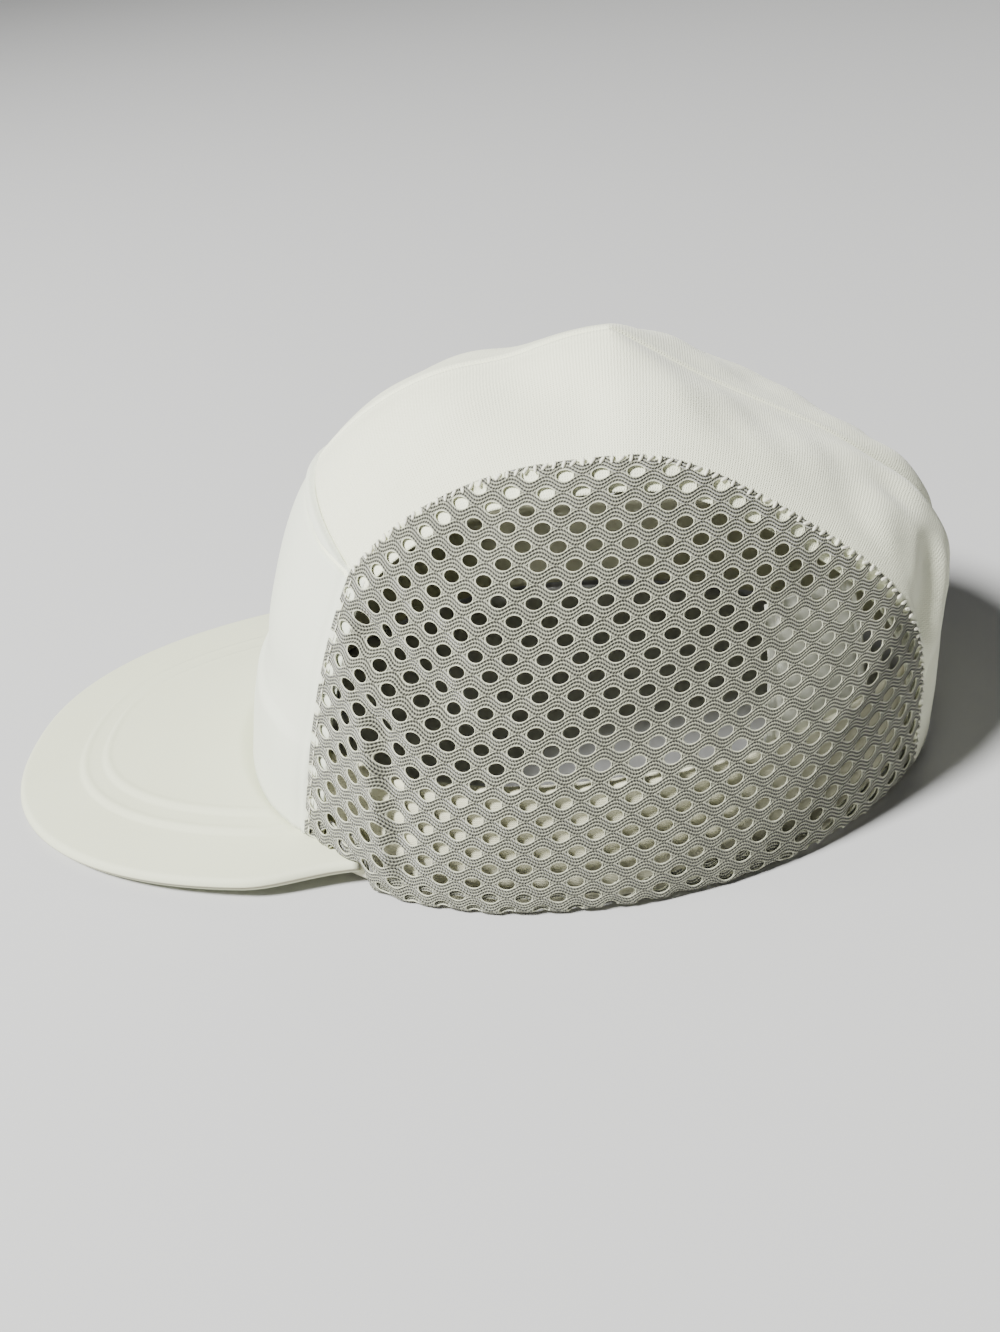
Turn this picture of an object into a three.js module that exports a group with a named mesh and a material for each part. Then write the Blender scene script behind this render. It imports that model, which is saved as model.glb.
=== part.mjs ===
// A five-panel camp cap: a front panel, two top panels, two D-shaped net side panels,
// a flat visor round a stiff board, and the bands, tapes and label sewn inside.
// Millimetres. The visor points towards -Y, the wearer's left is +X and the peak is +Z.
import * as THREE from 'three';
import { mergeVertices } from 'three/addons/utils/BufferGeometryUtils.js';

// The crown, measured on its outside at the hem and over the top
const FRONT_REACH = 100; // from the crown's middle to the front of the hem
const BACK_REACH = 97; // from the crown's middle to the back of the hem
const HALF_WIDTH = 87; // at the hem
const CROWN_HEIGHT = 118; // from the hem to the peak
const PEAK_SETBACK = 14; // the peak stands this far behind the crown's middle
const WIDEST_FORWARD = 12; // the hem is widest this far in front of the crown's middle
const FRONT_LEAN = 18; // how far the front panel leans back on its way up
const FRONT_WALL_SHARE = 0.63; // the front wall's height, as a share of the crown's
const FRONT_SHOULDER = 76; // reach of the rounded shoulder above the front panel
const FRONT_SHOULDER_SHARE = 0.95; // that shoulder's height, as a share of the crown's
const BACK_BULGE = 8; // how far the back stands out above the hem
const BACK_WALL_SHARE = 0.68;
const BACK_SHOULDER = 104; // reach of the rounded shoulder at the back
const BACK_SHOULDER_SHARE = 0.51;
const SIDE_BULGE = 2; // how far the sides stand out above the hem
const SIDE_WALL_SHARE = 0.42;
const SIDE_SHOULDER = 52; // half the width of the crown's shoulders
const SIDE_SHOULDER_SHARE = 0.94;
const SEAM_VALLEY = 3; // how far the centre seam pulls in the back
const VALLEY_ANGLE = 9; // half the width of that valley
const VALLEY_FADE_FROM = 0.3; // the rises between which it fades out upwards
const VALLEY_FADE_TO = 0.7;
const BACK_HEM_LIFT = 6; // the hem rises this much at the back
const LIFT_FROM_ANGLE = 110; // and starts to rise here

// Panels and seams. Angles go round the crown from the front, rises go from 0 at the hem to 1 at the peak
const PANEL_THICKNESS = 0.9;
const NET_FRONT_ANGLE = 43; // where the net panel meets the front panel
const NET_TOP_ANGLE = 98; // where the net panel is highest
const NET_BACK_ANGLE = 154; // where its arc comes down to the hem
const NET_TOP_RISE = 0.705;
const NET_SHOULDER_ANGLE = 62; // width of the arc's squarer front half, which the front panel cuts short
const FRONT_SEAM_RISE = 0.53; // the front panel's top edge, at the middle
const SEAM_GAP_ANGLE = 0.3;
const SEAM_GAP_RISE = 0.004;
const CENTRE_GAP = 0.3;
const RISE_PER_MM = 1 / (1.35 * CROWN_HEIGHT); // near the front seam, where the crown curves over

// Layers inside the crown
const LAYER_GAP = 0.45;
const TAPE_THICKNESS = 0.6;
const TAPE_WIDTH = 10;
const TAPE_END_GAP = 2; // between one tape's end and the next piece
const TAPE_END_ANGLE = 4; // the front seam's tape stops this far short of the net
const BAND_HEIGHT = 33;
const BAND_WALL = 0.5;
const BAND_CORE = 0.5;
const BAND_CLEARANCE = 0.3;
const BAND_BOTTOM = 1.6;
const BAND_STEP = 17; // the band bends to the crown's curve at least this often on its way up
const CORE_MARGIN = 1; // the core stops this far short of the band's fold and foot
const ELASTIC_HEIGHT = 20;
const ELASTIC_ANGLE = 157; // it lies between the two net panels at the back
const LABEL_FROM_ANGLE = 121;
const LABEL_TO_ANGLE = 140;
const LABEL_BOTTOM = 22;
const LABEL_TOP = 67;
const LABEL_THICKNESS = 0.4;

// The visor
const VISOR_LENGTH = 71; // from the front of the hem to the tip
const VISOR_HALF_WIDTH = 76.5;
const VISOR_ANGLE = 54; // the joint ends here, under the net panels' front corners
const VISOR_END = 4; // length of the cut end beside the crown
const VISOR_TUCK = 5; // the outline turns in this much where it goes under the net panel
const VISOR_FULLNESS = 0.88; // under 1 makes the outline squarer than half an ellipse
const VISOR_TILT = 2.5;
const VISOR_SIDE_DROP = 2;
const VISOR_BACK_HEIGHT = 8; // height of the board's middle where the visor is highest
const VISOR_BACK_SHARE = 0.35; // where that is, as a share of the crown's front reach
const HEM_DROP_FROM = 3; // past the joint's end, the hem comes down to the ground between these angles
const HEM_DROP_TO = 6;
const TUCK_FROM = 0.85; // the place on the outline where it starts to turn in
const BOARD_THICKNESS = 1.6;
const COVER_THICKNESS = 0.5;
const COVER_GAP = 0.3;
const RIM_MARGIN = 0.8; // the covers reach this far past the board
const RIM_HALF_HEIGHT = 0.6; // of each cover at the very edge
const JOINT_DEPTH = 1.2; // the covers' seam allowance under the front panel
const BOARD_JOINT_DEPTH = 0.6;

const IVORY = 0xe6e2d3;
const WHITE = 0xf1f0ea;

const TAPE_DEPTH = PANEL_THICKNESS + LAYER_GAP;
const BAND_DEPTH = TAPE_DEPTH + TAPE_THICKNESS + LAYER_GAP;
const BAND_THICKNESS = 2 * BAND_WALL + 2 * BAND_CLEARANCE + BAND_CORE;
const COVER_TOP = BOARD_THICKNESS / 2 + COVER_GAP + COVER_THICKNESS;

// A meridian of the crown from the hem to the peak. The two inner points pull the curve towards
// their reaches, at heights that are shares of the crown's
function meridian(hem, wall, wallShare, shoulder, shoulderShare, peak) {
  return new THREE.CubicBezierCurve(
    new THREE.Vector2(hem, 0),
    new THREE.Vector2(wall, wallShare * CROWN_HEIGHT),
    new THREE.Vector2(shoulder, shoulderShare * CROWN_HEIGHT),
    new THREE.Vector2(peak, CROWN_HEIGHT),
  );
}

const frontWall = -FRONT_REACH + FRONT_LEAN;
const frontMeridian = meridian(
  -FRONT_REACH, frontWall, FRONT_WALL_SHARE, -FRONT_SHOULDER, FRONT_SHOULDER_SHARE, PEAK_SETBACK,
);
const backWall = BACK_REACH + BACK_BULGE;
const backMeridian = meridian(
  BACK_REACH, backWall, BACK_WALL_SHARE, BACK_SHOULDER, BACK_SHOULDER_SHARE, PEAK_SETBACK,
);
const sideMeridian = meridian(
  HALF_WIDTH, HALF_WIDTH + SIDE_BULGE, SIDE_WALL_SHARE, SIDE_SHOULDER, SIDE_SHOULDER_SHARE, 0,
);

const radians = THREE.MathUtils.degToRad;
const lerp = THREE.MathUtils.lerp;
const smooth = THREE.MathUtils.smoothstep;

function span(from, to, steps) {
  return Array.from({ length: steps + 1 }, (_, i) => lerp(from, to, i / steps));
}

// A point of the crown's outer surface: the front, side and back meridians, mixed by angle
function surfacePoint(angle, rise) {
  const cosine = Math.cos(radians(angle));
  const sine = Math.sin(radians(angle));
  const end = cosine > 0 ? frontMeridian.getPoint(rise) : backMeridian.getPoint(rise);
  const side = sideMeridian.getPoint(rise);
  const middle = lerp(-WIDEST_FORWARD, PEAK_SETBACK, smooth(rise, 0, 1));
  const reach = Math.abs(cosine) * Math.abs(end.x - middle);
  const fromBack = (Math.abs(angle) - 180) / VALLEY_ANGLE;
  const fade = 1 - smooth(rise, VALLEY_FADE_FROM, VALLEY_FADE_TO);
  const valley = SEAM_VALLEY * Math.exp(-fromBack * fromBack) * fade;
  return new THREE.Vector3(
    side.x * sine,
    middle + (cosine > 0 ? -reach : reach - valley),
    end.y * cosine * cosine + side.y * sine * sine,
  );
}

const ANGLE_STEP = 0.5; // to either side, for the slope of the surface
const RISE_STEP = 0.01;
const LAST_SLOPE = 0.985; // above this rise the slope is taken from here
const FLAT_TOP = 0.99; // above this rise the normal points straight up

// The same point, moved inwards along the surface's normal
function crownPoint(angle, rise, depth = 0) {
  const point = surfacePoint(angle, rise);
  if (depth === 0) return point;
  const level = Math.min(rise, LAST_SLOPE);
  const round = surfacePoint(angle + ANGLE_STEP, level).sub(surfacePoint(angle - ANGLE_STEP, level));
  const under = surfacePoint(angle, Math.max(level - RISE_STEP, 0));
  const up = surfacePoint(angle, level + RISE_STEP).sub(under);
  const normal = rise > FLAT_TOP ? new THREE.Vector3(0, 0, 1) : round.cross(up).normalize();
  return point.addScaledVector(normal, -depth);
}

// The rise at which the surface reaches a height
function riseAt(angle, height) {
  let low = 0;
  let high = 0.9;
  for (let i = 0; i < 30; i++) {
    const middle = (low + high) / 2;
    if (surfacePoint(angle, middle).z < height) low = middle;
    else high = middle;
  }
  return low;
}

function backLift(angle) {
  const fromFront = angle > 180 ? 360 - angle : Math.abs(angle);
  const fromSide = Math.max(fromFront - LIFT_FROM_ANGLE, 0) / (180 - LIFT_FROM_ANGLE);
  return BACK_HEM_LIFT * fromSide * fromSide;
}

// Height of the middle of the visor's board
function visorHeight(x, y) {
  const side = x / VISOR_HALF_WIDTH;
  const forward = -VISOR_BACK_SHARE * FRONT_REACH - y;
  return VISOR_BACK_HEIGHT - forward * Math.tan(radians(VISOR_TILT)) - VISOR_SIDE_DROP * side * side;
}

// The hem stands on the visor in front, reaches the ground at the sides and lifts at the back
function hemRise(angle) {
  const foot = surfacePoint(angle, 0);
  const onVisor = visorHeight(foot.x, foot.y) + COVER_TOP + LAYER_GAP;
  const past = smooth(Math.abs(angle), VISOR_ANGLE + HEM_DROP_FROM, VISOR_ANGLE + HEM_DROP_TO);
  return riseAt(angle, lerp(onVisor, backLift(angle), past));
}

// The net panel's arc from its front corner, at -1, over the top, at 0, to the hem at the back, at 1
function arcPoint(place, grow = 0) {
  const growAngle = grow * SEAM_GAP_ANGLE;
  const growRise = grow * SEAM_GAP_RISE;
  const top = NET_TOP_RISE + growRise;
  if (place < 0) {
    const angle = NET_TOP_ANGLE + place * (NET_TOP_ANGLE - NET_FRONT_ANGLE + growAngle);
    const share = (NET_TOP_ANGLE - angle) / (NET_SHOULDER_ANGLE + growAngle);
    return { angle, rise: top * Math.cbrt(1 - share ** 3) };
  }
  const turn = (place * Math.PI) / 2;
  const angle = NET_TOP_ANGLE + (NET_BACK_ANGLE - NET_TOP_ANGLE + growAngle) * Math.sin(turn);
  const hem = hemRise(angle);
  return { angle, rise: hem + (top - hem) * Math.cos(turn) };
}

// Where the net panel and the top panel both have their columns
const ARC_PLACES = [...span(-1, 0, 8), ...span(0, 1, 12).slice(1)];
const TOP_STEPS = 13;

function frontSeamRise(angle) {
  const share = angle / NET_FRONT_ANGLE;
  return lerp(FRONT_SEAM_RISE, arcPoint(-1).rise, share * share);
}

// One closed body between an outer and an inner grid of points
function closedShell(outer, inner, ring = false) {
  const rows = outer.length;
  const columns = outer[0].length;
  const positions = [];
  const triangle = (a, b, c) => positions.push(...a.toArray(), ...b.toArray(), ...c.toArray());
  const quad = (a, b, c, d) => {
    triangle(a, b, c);
    triangle(a, c, d);
  };
  for (let i = 0; i < (ring ? rows : rows - 1); i++) {
    const next = (i + 1) % rows;
    for (let j = 0; j < columns - 1; j++) {
      quad(outer[i][j], outer[next][j], outer[next][j + 1], outer[i][j + 1]);
      quad(inner[i][j + 1], inner[next][j + 1], inner[next][j], inner[i][j]);
    }
    quad(outer[next][0], outer[i][0], inner[i][0], inner[next][0]);
    const last = columns - 1;
    quad(outer[i][last], outer[next][last], inner[next][last], inner[i][last]);
  }
  for (let j = 0; j < columns - 1 && !ring; j++) {
    const end = rows - 1;
    quad(outer[0][j], outer[0][j + 1], inner[0][j + 1], inner[0][j]);
    quad(outer[end][j + 1], outer[end][j], inner[end][j], inner[end][j + 1]);
  }
  return weld(positions);
}

// Merges the corners, drops the triangles that a pointed end closes up, and turns the faces out
function weld(positions) {
  const loose = new THREE.BufferGeometry();
  loose.setAttribute('position', new THREE.Float32BufferAttribute(positions, 3));
  const merged = mergeVertices(loose, 0.001);
  const index = merged.index.array;
  const corners = merged.attributes.position;
  const kept = [];
  let volume = 0;
  for (let i = 0; i < index.length; i += 3) {
    const [a, b, c] = [index[i], index[i + 1], index[i + 2]];
    if (a === b || b === c || c === a) continue;
    kept.push(a, b, c);
    const [p, q, r] = [a, b, c].map((k) => new THREE.Vector3().fromBufferAttribute(corners, k));
    volume += p.dot(q.cross(r));
  }
  merged.setIndex(volume < 0 ? kept.reverse() : kept);
  merged.computeVertexNormals();
  return merged;
}

function mirrored(geometry) {
  const copy = geometry.clone();
  copy.scale(-1, 1, 1);
  copy.setIndex(Array.from(copy.index.array).reverse());
  copy.computeVertexNormals();
  return copy;
}

// A panel of the crown: each column runs from its foot to its top at one angle
function crownPanel(columns, steps, depth, thickness) {
  const grid = (level) =>
    columns.map(({ angle, foot, top }) =>
      span(foot, top, steps).map((rise) => crownPoint(angle, rise, level)),
    );
  const outer = grid(depth);
  const inner = grid(depth + thickness);
  inner.forEach((column, i) => {
    column[0].z = outer[i][0].z;
  });
  return { outer, inner };
}

function shiftGrids({ outer, inner }, x) {
  [...outer, ...inner].flat().forEach((point) => {
    point.x += x;
  });
  return closedShell(outer, inner);
}

function frontPanel() {
  const edge = NET_FRONT_ANGLE - SEAM_GAP_ANGLE;
  const columns = span(-edge, edge, 14).map((angle) => ({
    angle,
    foot: hemRise(angle),
    top: frontSeamRise(angle),
  }));
  const { outer, inner } = crownPanel(columns, 9, 0, PANEL_THICKNESS);
  return closedShell(outer, inner);
}

function netPanel() {
  const columns = ARC_PLACES.map((place) => {
    const { angle, rise } = arcPoint(place);
    return { angle, foot: hemRise(angle), top: rise };
  });
  return shiftGrids(crownPanel(columns, 11, 0, PANEL_THICKNESS), CENTRE_GAP / 2);
}

function topPanel() {
  const front = span(0, NET_FRONT_ANGLE - SEAM_GAP_ANGLE, 7).map((angle) => ({
    angle,
    foot: frontSeamRise(angle) + SEAM_GAP_RISE,
  }));
  const arc = ARC_PLACES.slice(1).map((place) => {
    const { angle, rise } = arcPoint(place, 1);
    return { angle, foot: rise };
  });
  const back = span(NET_BACK_ANGLE + SEAM_GAP_ANGLE, 180, 5)
    .slice(1)
    .map((angle) => ({ angle, foot: hemRise(angle) }));
  const columns = [...front, ...arc, ...back].map((column) => ({ ...column, top: 1 }));
  return shiftGrids(crownPanel(columns, TOP_STEPS, 0, PANEL_THICKNESS), CENTRE_GAP / 2);
}

// A strip of the inside that follows two edges, each a list of { angle, rise }
function strip(lowEdge, highEdge, depth, thickness) {
  const grid = (level) =>
    lowEdge.map((low, i) => {
      const high = highEdge[i];
      return span(0, 1, 2).map((share) =>
        crownPoint(lerp(low.angle, high.angle, share), lerp(low.rise, high.rise, share), level),
      );
    });
  return { outer: grid(depth), inner: grid(depth + thickness) };
}

function frontSeamTape() {
  const half = (TAPE_WIDTH / 2) * RISE_PER_MM;
  const end = NET_FRONT_ANGLE - TAPE_END_ANGLE;
  const angles = span(-end, end, 16);
  const low = angles.map((angle) => ({ angle, rise: frontSeamRise(angle) - half }));
  const high = angles.map((angle) => ({ angle, rise: frontSeamRise(angle) + half }));
  const { outer, inner } = strip(low, high, TAPE_DEPTH, TAPE_THICKNESS);
  return closedShell(outer, inner);
}

const TAPE_PEAK_SLOPE = 1 / 8;
const TAPE_LAST_RISE = 0.95; // the centre seam's tape bends straight over the peak from here

// The tape of the centre seam, from the front seam's tape over the peak to the elastic at the back
function centreSeamTape() {
  const half = TAPE_WIDTH / 2;
  const start = FRONT_SEAM_RISE + (half + TAPE_END_GAP / 2) * RISE_PER_MM;
  const end = riseAt(180, backLift(180) + BAND_BOTTOM + ELASTIC_HEIGHT + TAPE_END_GAP);
  const panelRises = (foot, from) =>
    span(foot, 1, TOP_STEPS).filter((rise) => rise > from && rise < TAPE_LAST_RISE);
  const inFront = panelRises(FRONT_SEAM_RISE + SEAM_GAP_RISE, start);
  const behind = panelRises(hemRise(180), end);
  const across = (rise, atBack, depth) =>
    [-half, 0, half].map((x) => {
      const turn = THREE.MathUtils.radToDeg(Math.asin(x / sideMeridian.getPoint(rise).x));
      return crownPoint(atBack ? 180 - turn : turn, rise, depth);
    });
  const overPeak = (depth) =>
    [-half, 0, half].map((x) => {
      const height = CROWN_HEIGHT - depth - Math.abs(x) * TAPE_PEAK_SLOPE;
      return new THREE.Vector3(x, PEAK_SETBACK, height);
    });
  const grid = (depth) => [
    ...[start, ...inFront].map((rise) => across(rise, false, depth)),
    overPeak(depth),
    ...[end, ...behind].reverse().map((rise) => across(rise, true, depth)),
  ];
  return closedShell(grid(TAPE_DEPTH), grid(TAPE_DEPTH + TAPE_THICKNESS));
}

const MM_PER_GROW = 0.5; // what one step of grow adds to the arc
const TAPE_FIRST_PLACE = -0.97; // clear of the front panel

function sideSeamTape() {
  const grow = TAPE_WIDTH / 2 / MM_PER_GROW;
  const places = [TAPE_FIRST_PLACE, ...ARC_PLACES.slice(1)];
  const low = places.map((place) => arcPoint(place, -grow));
  const high = places.map((place) => arcPoint(place, grow));
  return shiftGrids(strip(low, high, TAPE_DEPTH, TAPE_THICKNESS), CENTRE_GAP / 2);
}

function elastic() {
  const angles = span(ELASTIC_ANGLE, 360 - ELASTIC_ANGLE, 16);
  const edge = (above) =>
    angles.map((angle) => ({ angle, rise: riseAt(angle, backLift(angle) + BAND_BOTTOM + above) }));
  const { outer, inner } = strip(edge(0), edge(ELASTIC_HEIGHT), TAPE_DEPTH, TAPE_THICKNESS);
  return closedShell(outer, inner);
}

// The sweatband's height levels at one angle, as rises
function bandRises(angle, bottom, top) {
  const base = backLift(angle) + BAND_BOTTOM;
  return span(bottom, top, Math.ceil(BAND_HEIGHT / BAND_STEP)).map((height) => riseAt(angle, base + height));
}

const BAND_ANGLES = span(-180, 173, 52);

// The sweatband is a strip folded double with its fold on top
function sweatband() {
  const fold = (wall) => (angle) => {
    const top = BAND_HEIGHT - wall;
    const rises = bandRises(angle, 0, top);
    const outside = rises.map((rise) => crownPoint(angle, rise, BAND_DEPTH + wall));
    const inside = rises.map((rise) => crownPoint(angle, rise, BAND_DEPTH + BAND_THICKNESS - wall));
    return [...outside, ...inside.reverse()];
  };
  return closedShell(BAND_ANGLES.map(fold(0)), BAND_ANGLES.map(fold(BAND_WALL)), true);
}

function sweatbandCore() {
  const depth = BAND_DEPTH + BAND_WALL + BAND_CLEARANCE;
  const top = BAND_HEIGHT - BAND_WALL - CORE_MARGIN;
  const grid = (level) =>
    BAND_ANGLES.map((angle) =>
      bandRises(angle, CORE_MARGIN, top).map((rise) => crownPoint(angle, rise, level)),
    );
  return closedShell(grid(depth), grid(depth + BAND_CORE), true);
}

// The care label is sewn to the sweatband's inner face, at the left of the back
function careLabel() {
  const depth = BAND_DEPTH + BAND_THICKNESS + LAYER_GAP;
  const columns = span(LABEL_FROM_ANGLE, LABEL_TO_ANGLE, 4).map((angle) => ({
    angle,
    foot: riseAt(angle, LABEL_BOTTOM),
    top: riseAt(angle, LABEL_TOP),
  }));
  const { outer, inner } = crownPanel(columns, 5, depth, LABEL_THICKNESS);
  return closedShell(outer, inner);
}

// A point of the visor's plan: place goes from -1 to 1 round the edge, share from the joint to the edge
function visorPlan(place, share, inset, jointDepth) {
  const joint = crownPoint(place * VISOR_ANGLE, riseAt(place * VISOR_ANGLE, VISOR_BACK_HEIGHT), jointDepth);
  const turn = (place * Math.PI) / 2;
  const endY = surfacePoint(VISOR_ANGLE, 0).y + VISOR_END;
  const reach = endY + FRONT_REACH + VISOR_LENGTH - inset;
  const side = Math.sign(turn) * Math.abs(Math.sin(turn)) ** VISOR_FULLNESS;
  const tuck = VISOR_TUCK * smooth(Math.abs(place), TUCK_FROM, 1);
  const edge = new THREE.Vector3(
    (VISOR_HALF_WIDTH - tuck - inset) * side,
    endY - reach * Math.cos(turn) ** VISOR_FULLNESS,
    0,
  );
  return joint.lerp(edge, share);
}

// A leaf of the visor between two heights over the board's middle, given at each step towards the edge
function visorLeaf(steps, jointDepth) {
  const grid = (key) =>
    span(-1, 1, 30).map((place) =>
      steps.map((step) => {
        const point = visorPlan(place, step.share, step.inset, jointDepth);
        point.z = visorHeight(point.x, point.y) + step[key];
        return point;
      }),
    );
  return closedShell(grid('upper'), grid('lower'));
}

function visorBoard() {
  const half = BOARD_THICKNESS / 2;
  const inset = RIM_MARGIN + COVER_GAP;
  const steps = span(0, 1, 4).map((share) => ({ share, inset, upper: half, lower: -half }));
  return visorLeaf(steps, BOARD_JOINT_DEPTH);
}

// A cover lies on the board and closes half of its rim. side is 1 on top and -1 underneath
function visorCover(side) {
  const near = side * (BOARD_THICKNESS / 2 + COVER_GAP);
  const far = side * COVER_TOP;
  const flat = span(0, 1, 4).map((share) => ({ share, inset: RIM_MARGIN, upper: far, lower: near }));
  const rim = { share: 1, inset: 0, upper: side * RIM_HALF_HEIGHT, lower: side * (COVER_GAP / 2) };
  return visorLeaf([...flat, rim], JOINT_DEPTH);
}

function named(name, geometry, color, roughness) {
  const material = new THREE.MeshStandardMaterial({ color, roughness, metalness: 0 });
  const mesh = new THREE.Mesh(geometry, material);
  mesh.name = name;
  return mesh;
}

function pair(name, geometry, color, roughness) {
  return [
    named(`${name}_left`, geometry, color, roughness),
    named(`${name}_right`, mirrored(geometry), color, roughness),
  ];
}

const cap = new THREE.Group();
cap.add(
  named('front_panel', frontPanel(), IVORY, 0.8),
  ...pair('top_panel', topPanel(), IVORY, 0.9),
  ...pair('side_net_panel', netPanel(), IVORY, 0.85),
  named('front_seam_tape', frontSeamTape(), IVORY, 0.9),
  named('centre_seam_tape', centreSeamTape(), IVORY, 0.9),
  ...pair('side_seam_tape', sideSeamTape(), IVORY, 0.9),
  named('sweatband', sweatband(), IVORY, 0.9),
  named('sweatband_core', sweatbandCore(), WHITE, 0.95),
  named('back_elastic', elastic(), WHITE, 0.9),
  named('care_label', careLabel(), WHITE, 0.6),
  named('visor_board', visorBoard(), WHITE, 0.7),
  named('visor_top_cover', visorCover(1), IVORY, 0.8),
  named('visor_under_cover', visorCover(-1), IVORY, 0.85),
);

// The origin goes under the middle of the whole cap
const box = new THREE.Box3().setFromObject(cap);
cap.position.set(0, -(box.min.y + box.max.y) / 2, -box.min.z);

export default cap;
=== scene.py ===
import math
import bpy
import numpy as np
from mathutils import Matrix, Vector


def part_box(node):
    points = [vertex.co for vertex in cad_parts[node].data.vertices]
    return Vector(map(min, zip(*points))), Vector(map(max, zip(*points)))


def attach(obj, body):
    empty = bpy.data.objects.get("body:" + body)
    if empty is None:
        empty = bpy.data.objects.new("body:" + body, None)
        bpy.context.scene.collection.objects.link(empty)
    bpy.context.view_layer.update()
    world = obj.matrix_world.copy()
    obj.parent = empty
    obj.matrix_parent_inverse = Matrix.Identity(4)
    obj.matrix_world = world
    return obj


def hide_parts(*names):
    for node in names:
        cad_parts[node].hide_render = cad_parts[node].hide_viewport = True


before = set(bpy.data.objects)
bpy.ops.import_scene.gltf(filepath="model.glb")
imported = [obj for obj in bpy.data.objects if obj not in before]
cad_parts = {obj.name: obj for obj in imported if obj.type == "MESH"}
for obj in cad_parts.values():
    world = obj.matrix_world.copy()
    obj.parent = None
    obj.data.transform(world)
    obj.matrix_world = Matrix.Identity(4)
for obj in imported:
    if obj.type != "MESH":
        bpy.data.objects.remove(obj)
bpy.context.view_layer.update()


# ---------------------------------------------------------------------------------------------
# FRONT PANEL
# One piece of smooth, close-woven cotton with no centre seam. It is sewn to the visor along its
# foot, and its top edge is felled: turned, lapped under the top panels and stitched down twice.
# ---------------------------------------------------------------------------------------------
# The crown's own shape, in millimetres from the middle of the hem, as in the frame
FRONT_REACH = 100.0
CROWN_HEIGHT = 118.0
PEAK_SETBACK = 14.0
WIDEST_FORWARD = 12.0
SEAM_VALLEY = 3.0
VALLEY_ANGLE = 9.0
BACK_HEM_LIFT = 6.0
NET_FRONT_ANGLE = 43.0
FRONT_SEAM_RISE = 0.53
VISOR_LENGTH = 71.0
VISOR_HALF_WIDTH = 76.5
VISOR_ANGLE = 54.0
VISOR_TILT = 2.5
VISOR_SIDE_DROP = 2.0
VISOR_BACK_HEIGHT = 8.0
VISOR_COVER_TOP = 1.6
BAND_TOP = 34.6
SLOPE_LENGTH = 1.25 * CROWN_HEIGHT  # about how far the cloth runs from the hem to the peak
HEM_MIDDLE_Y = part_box("visor_top_cover")[0].y * 1000 + FRONT_REACH + VISOR_LENGTH


def meridian(hem, wall, wall_share, shoulder, shoulder_share, peak):
    """The four points of a curve from the hem to the peak: reach, height."""
    return np.array([
        [hem, 0.0], [wall, wall_share * CROWN_HEIGHT],
        [shoulder, shoulder_share * CROWN_HEIGHT], [peak, CROWN_HEIGHT]])


FRONT_MERIDIAN = meridian(-FRONT_REACH, -82, 0.63, -76, 0.95, PEAK_SETBACK)
BACK_MERIDIAN = meridian(97, 105, 0.68, 104, 0.51, PEAK_SETBACK)
SIDE_MERIDIAN = meridian(87, 89, 0.42, 52, 0.94, 0)


def on_meridian(curve, rise):
    """Points of a meridian at rises from 0 to 1."""
    t = rise[..., None]
    return ((1 - t) ** 3 * curve[0] + 3 * (1 - t) ** 2 * t * curve[1]
            + 3 * (1 - t) * t ** 2 * curve[2] + t ** 3 * curve[3])


def smooth(value, low, high):
    """0 below low, 1 above high, with an even blend between."""
    t = np.clip((value - low) / (high - low), 0, 1)
    return t * t * (3 - 2 * t)


def surface(angle, rise):
    """A point of the crown's outside. Angles go round from the front, rises from the hem to the peak."""
    angle, rise = np.broadcast_arrays(np.asarray(angle, float), np.asarray(rise, float))
    angle = np.where(angle > 180, angle - 360, angle)
    cosine, sine = np.cos(np.radians(angle)), np.sin(np.radians(angle))
    end = np.where(
        (cosine > 0)[..., None], on_meridian(FRONT_MERIDIAN, rise), on_meridian(BACK_MERIDIAN, rise))
    side = on_meridian(SIDE_MERIDIAN, rise)
    middle = -WIDEST_FORWARD + (WIDEST_FORWARD + PEAK_SETBACK) * smooth(rise, 0, 1)
    reach = np.abs(cosine) * np.abs(end[..., 0] - middle)
    valley = (SEAM_VALLEY * np.exp(-((np.abs(angle) - 180) / VALLEY_ANGLE) ** 2)
              * (1 - smooth(rise, 0.3, 0.7)))
    return np.stack([
        side[..., 0] * sine,
        middle + np.where(cosine > 0, -reach, reach - valley),
        end[..., 1] * cosine ** 2 + side[..., 1] * sine ** 2], -1)


def crown(angle, rise, out=0.0):
    """The same point, moved out along the crown's normal."""
    level = np.clip(rise, 0, 0.985)
    round_it = surface(angle + 0.5, level) - surface(angle - 0.5, level)
    up = surface(angle, level + 0.01) - surface(angle, np.maximum(level - 0.01, 0))
    normal = np.cross(round_it, up)
    normal /= np.linalg.norm(normal, axis=-1, keepdims=True)
    normal = np.where((np.asarray(rise) > 0.99)[..., None], [0.0, 0.0, 1.0], normal)
    return surface(angle, rise) + normal * np.asarray(out)[..., None]


def rise_at(angle, height):
    """The rise at which the crown reaches a height."""
    angle, height = np.broadcast_arrays(np.asarray(angle, float), np.asarray(height, float))
    low, high = np.zeros(angle.shape), np.full(angle.shape, 0.9)
    for _ in range(22):
        half = (low + high) / 2
        under = surface(angle, half)[..., 2] < height
        low, high = np.where(under, half, low), np.where(under, high, half)
    return low


def back_lift(angle):
    """How far the hem lifts off the ground towards the back."""
    from_front = np.where(angle > 180, 360 - angle, np.abs(angle))
    return BACK_HEM_LIFT * (np.maximum(from_front - 110, 0) / 70) ** 2


def visor_height(x, y):
    """The middle of the visor's board."""
    forward = -0.35 * FRONT_REACH - y
    return (VISOR_BACK_HEIGHT - forward * math.tan(math.radians(VISOR_TILT))
            - VISOR_SIDE_DROP * (x / VISOR_HALF_WIDTH) ** 2)


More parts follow.
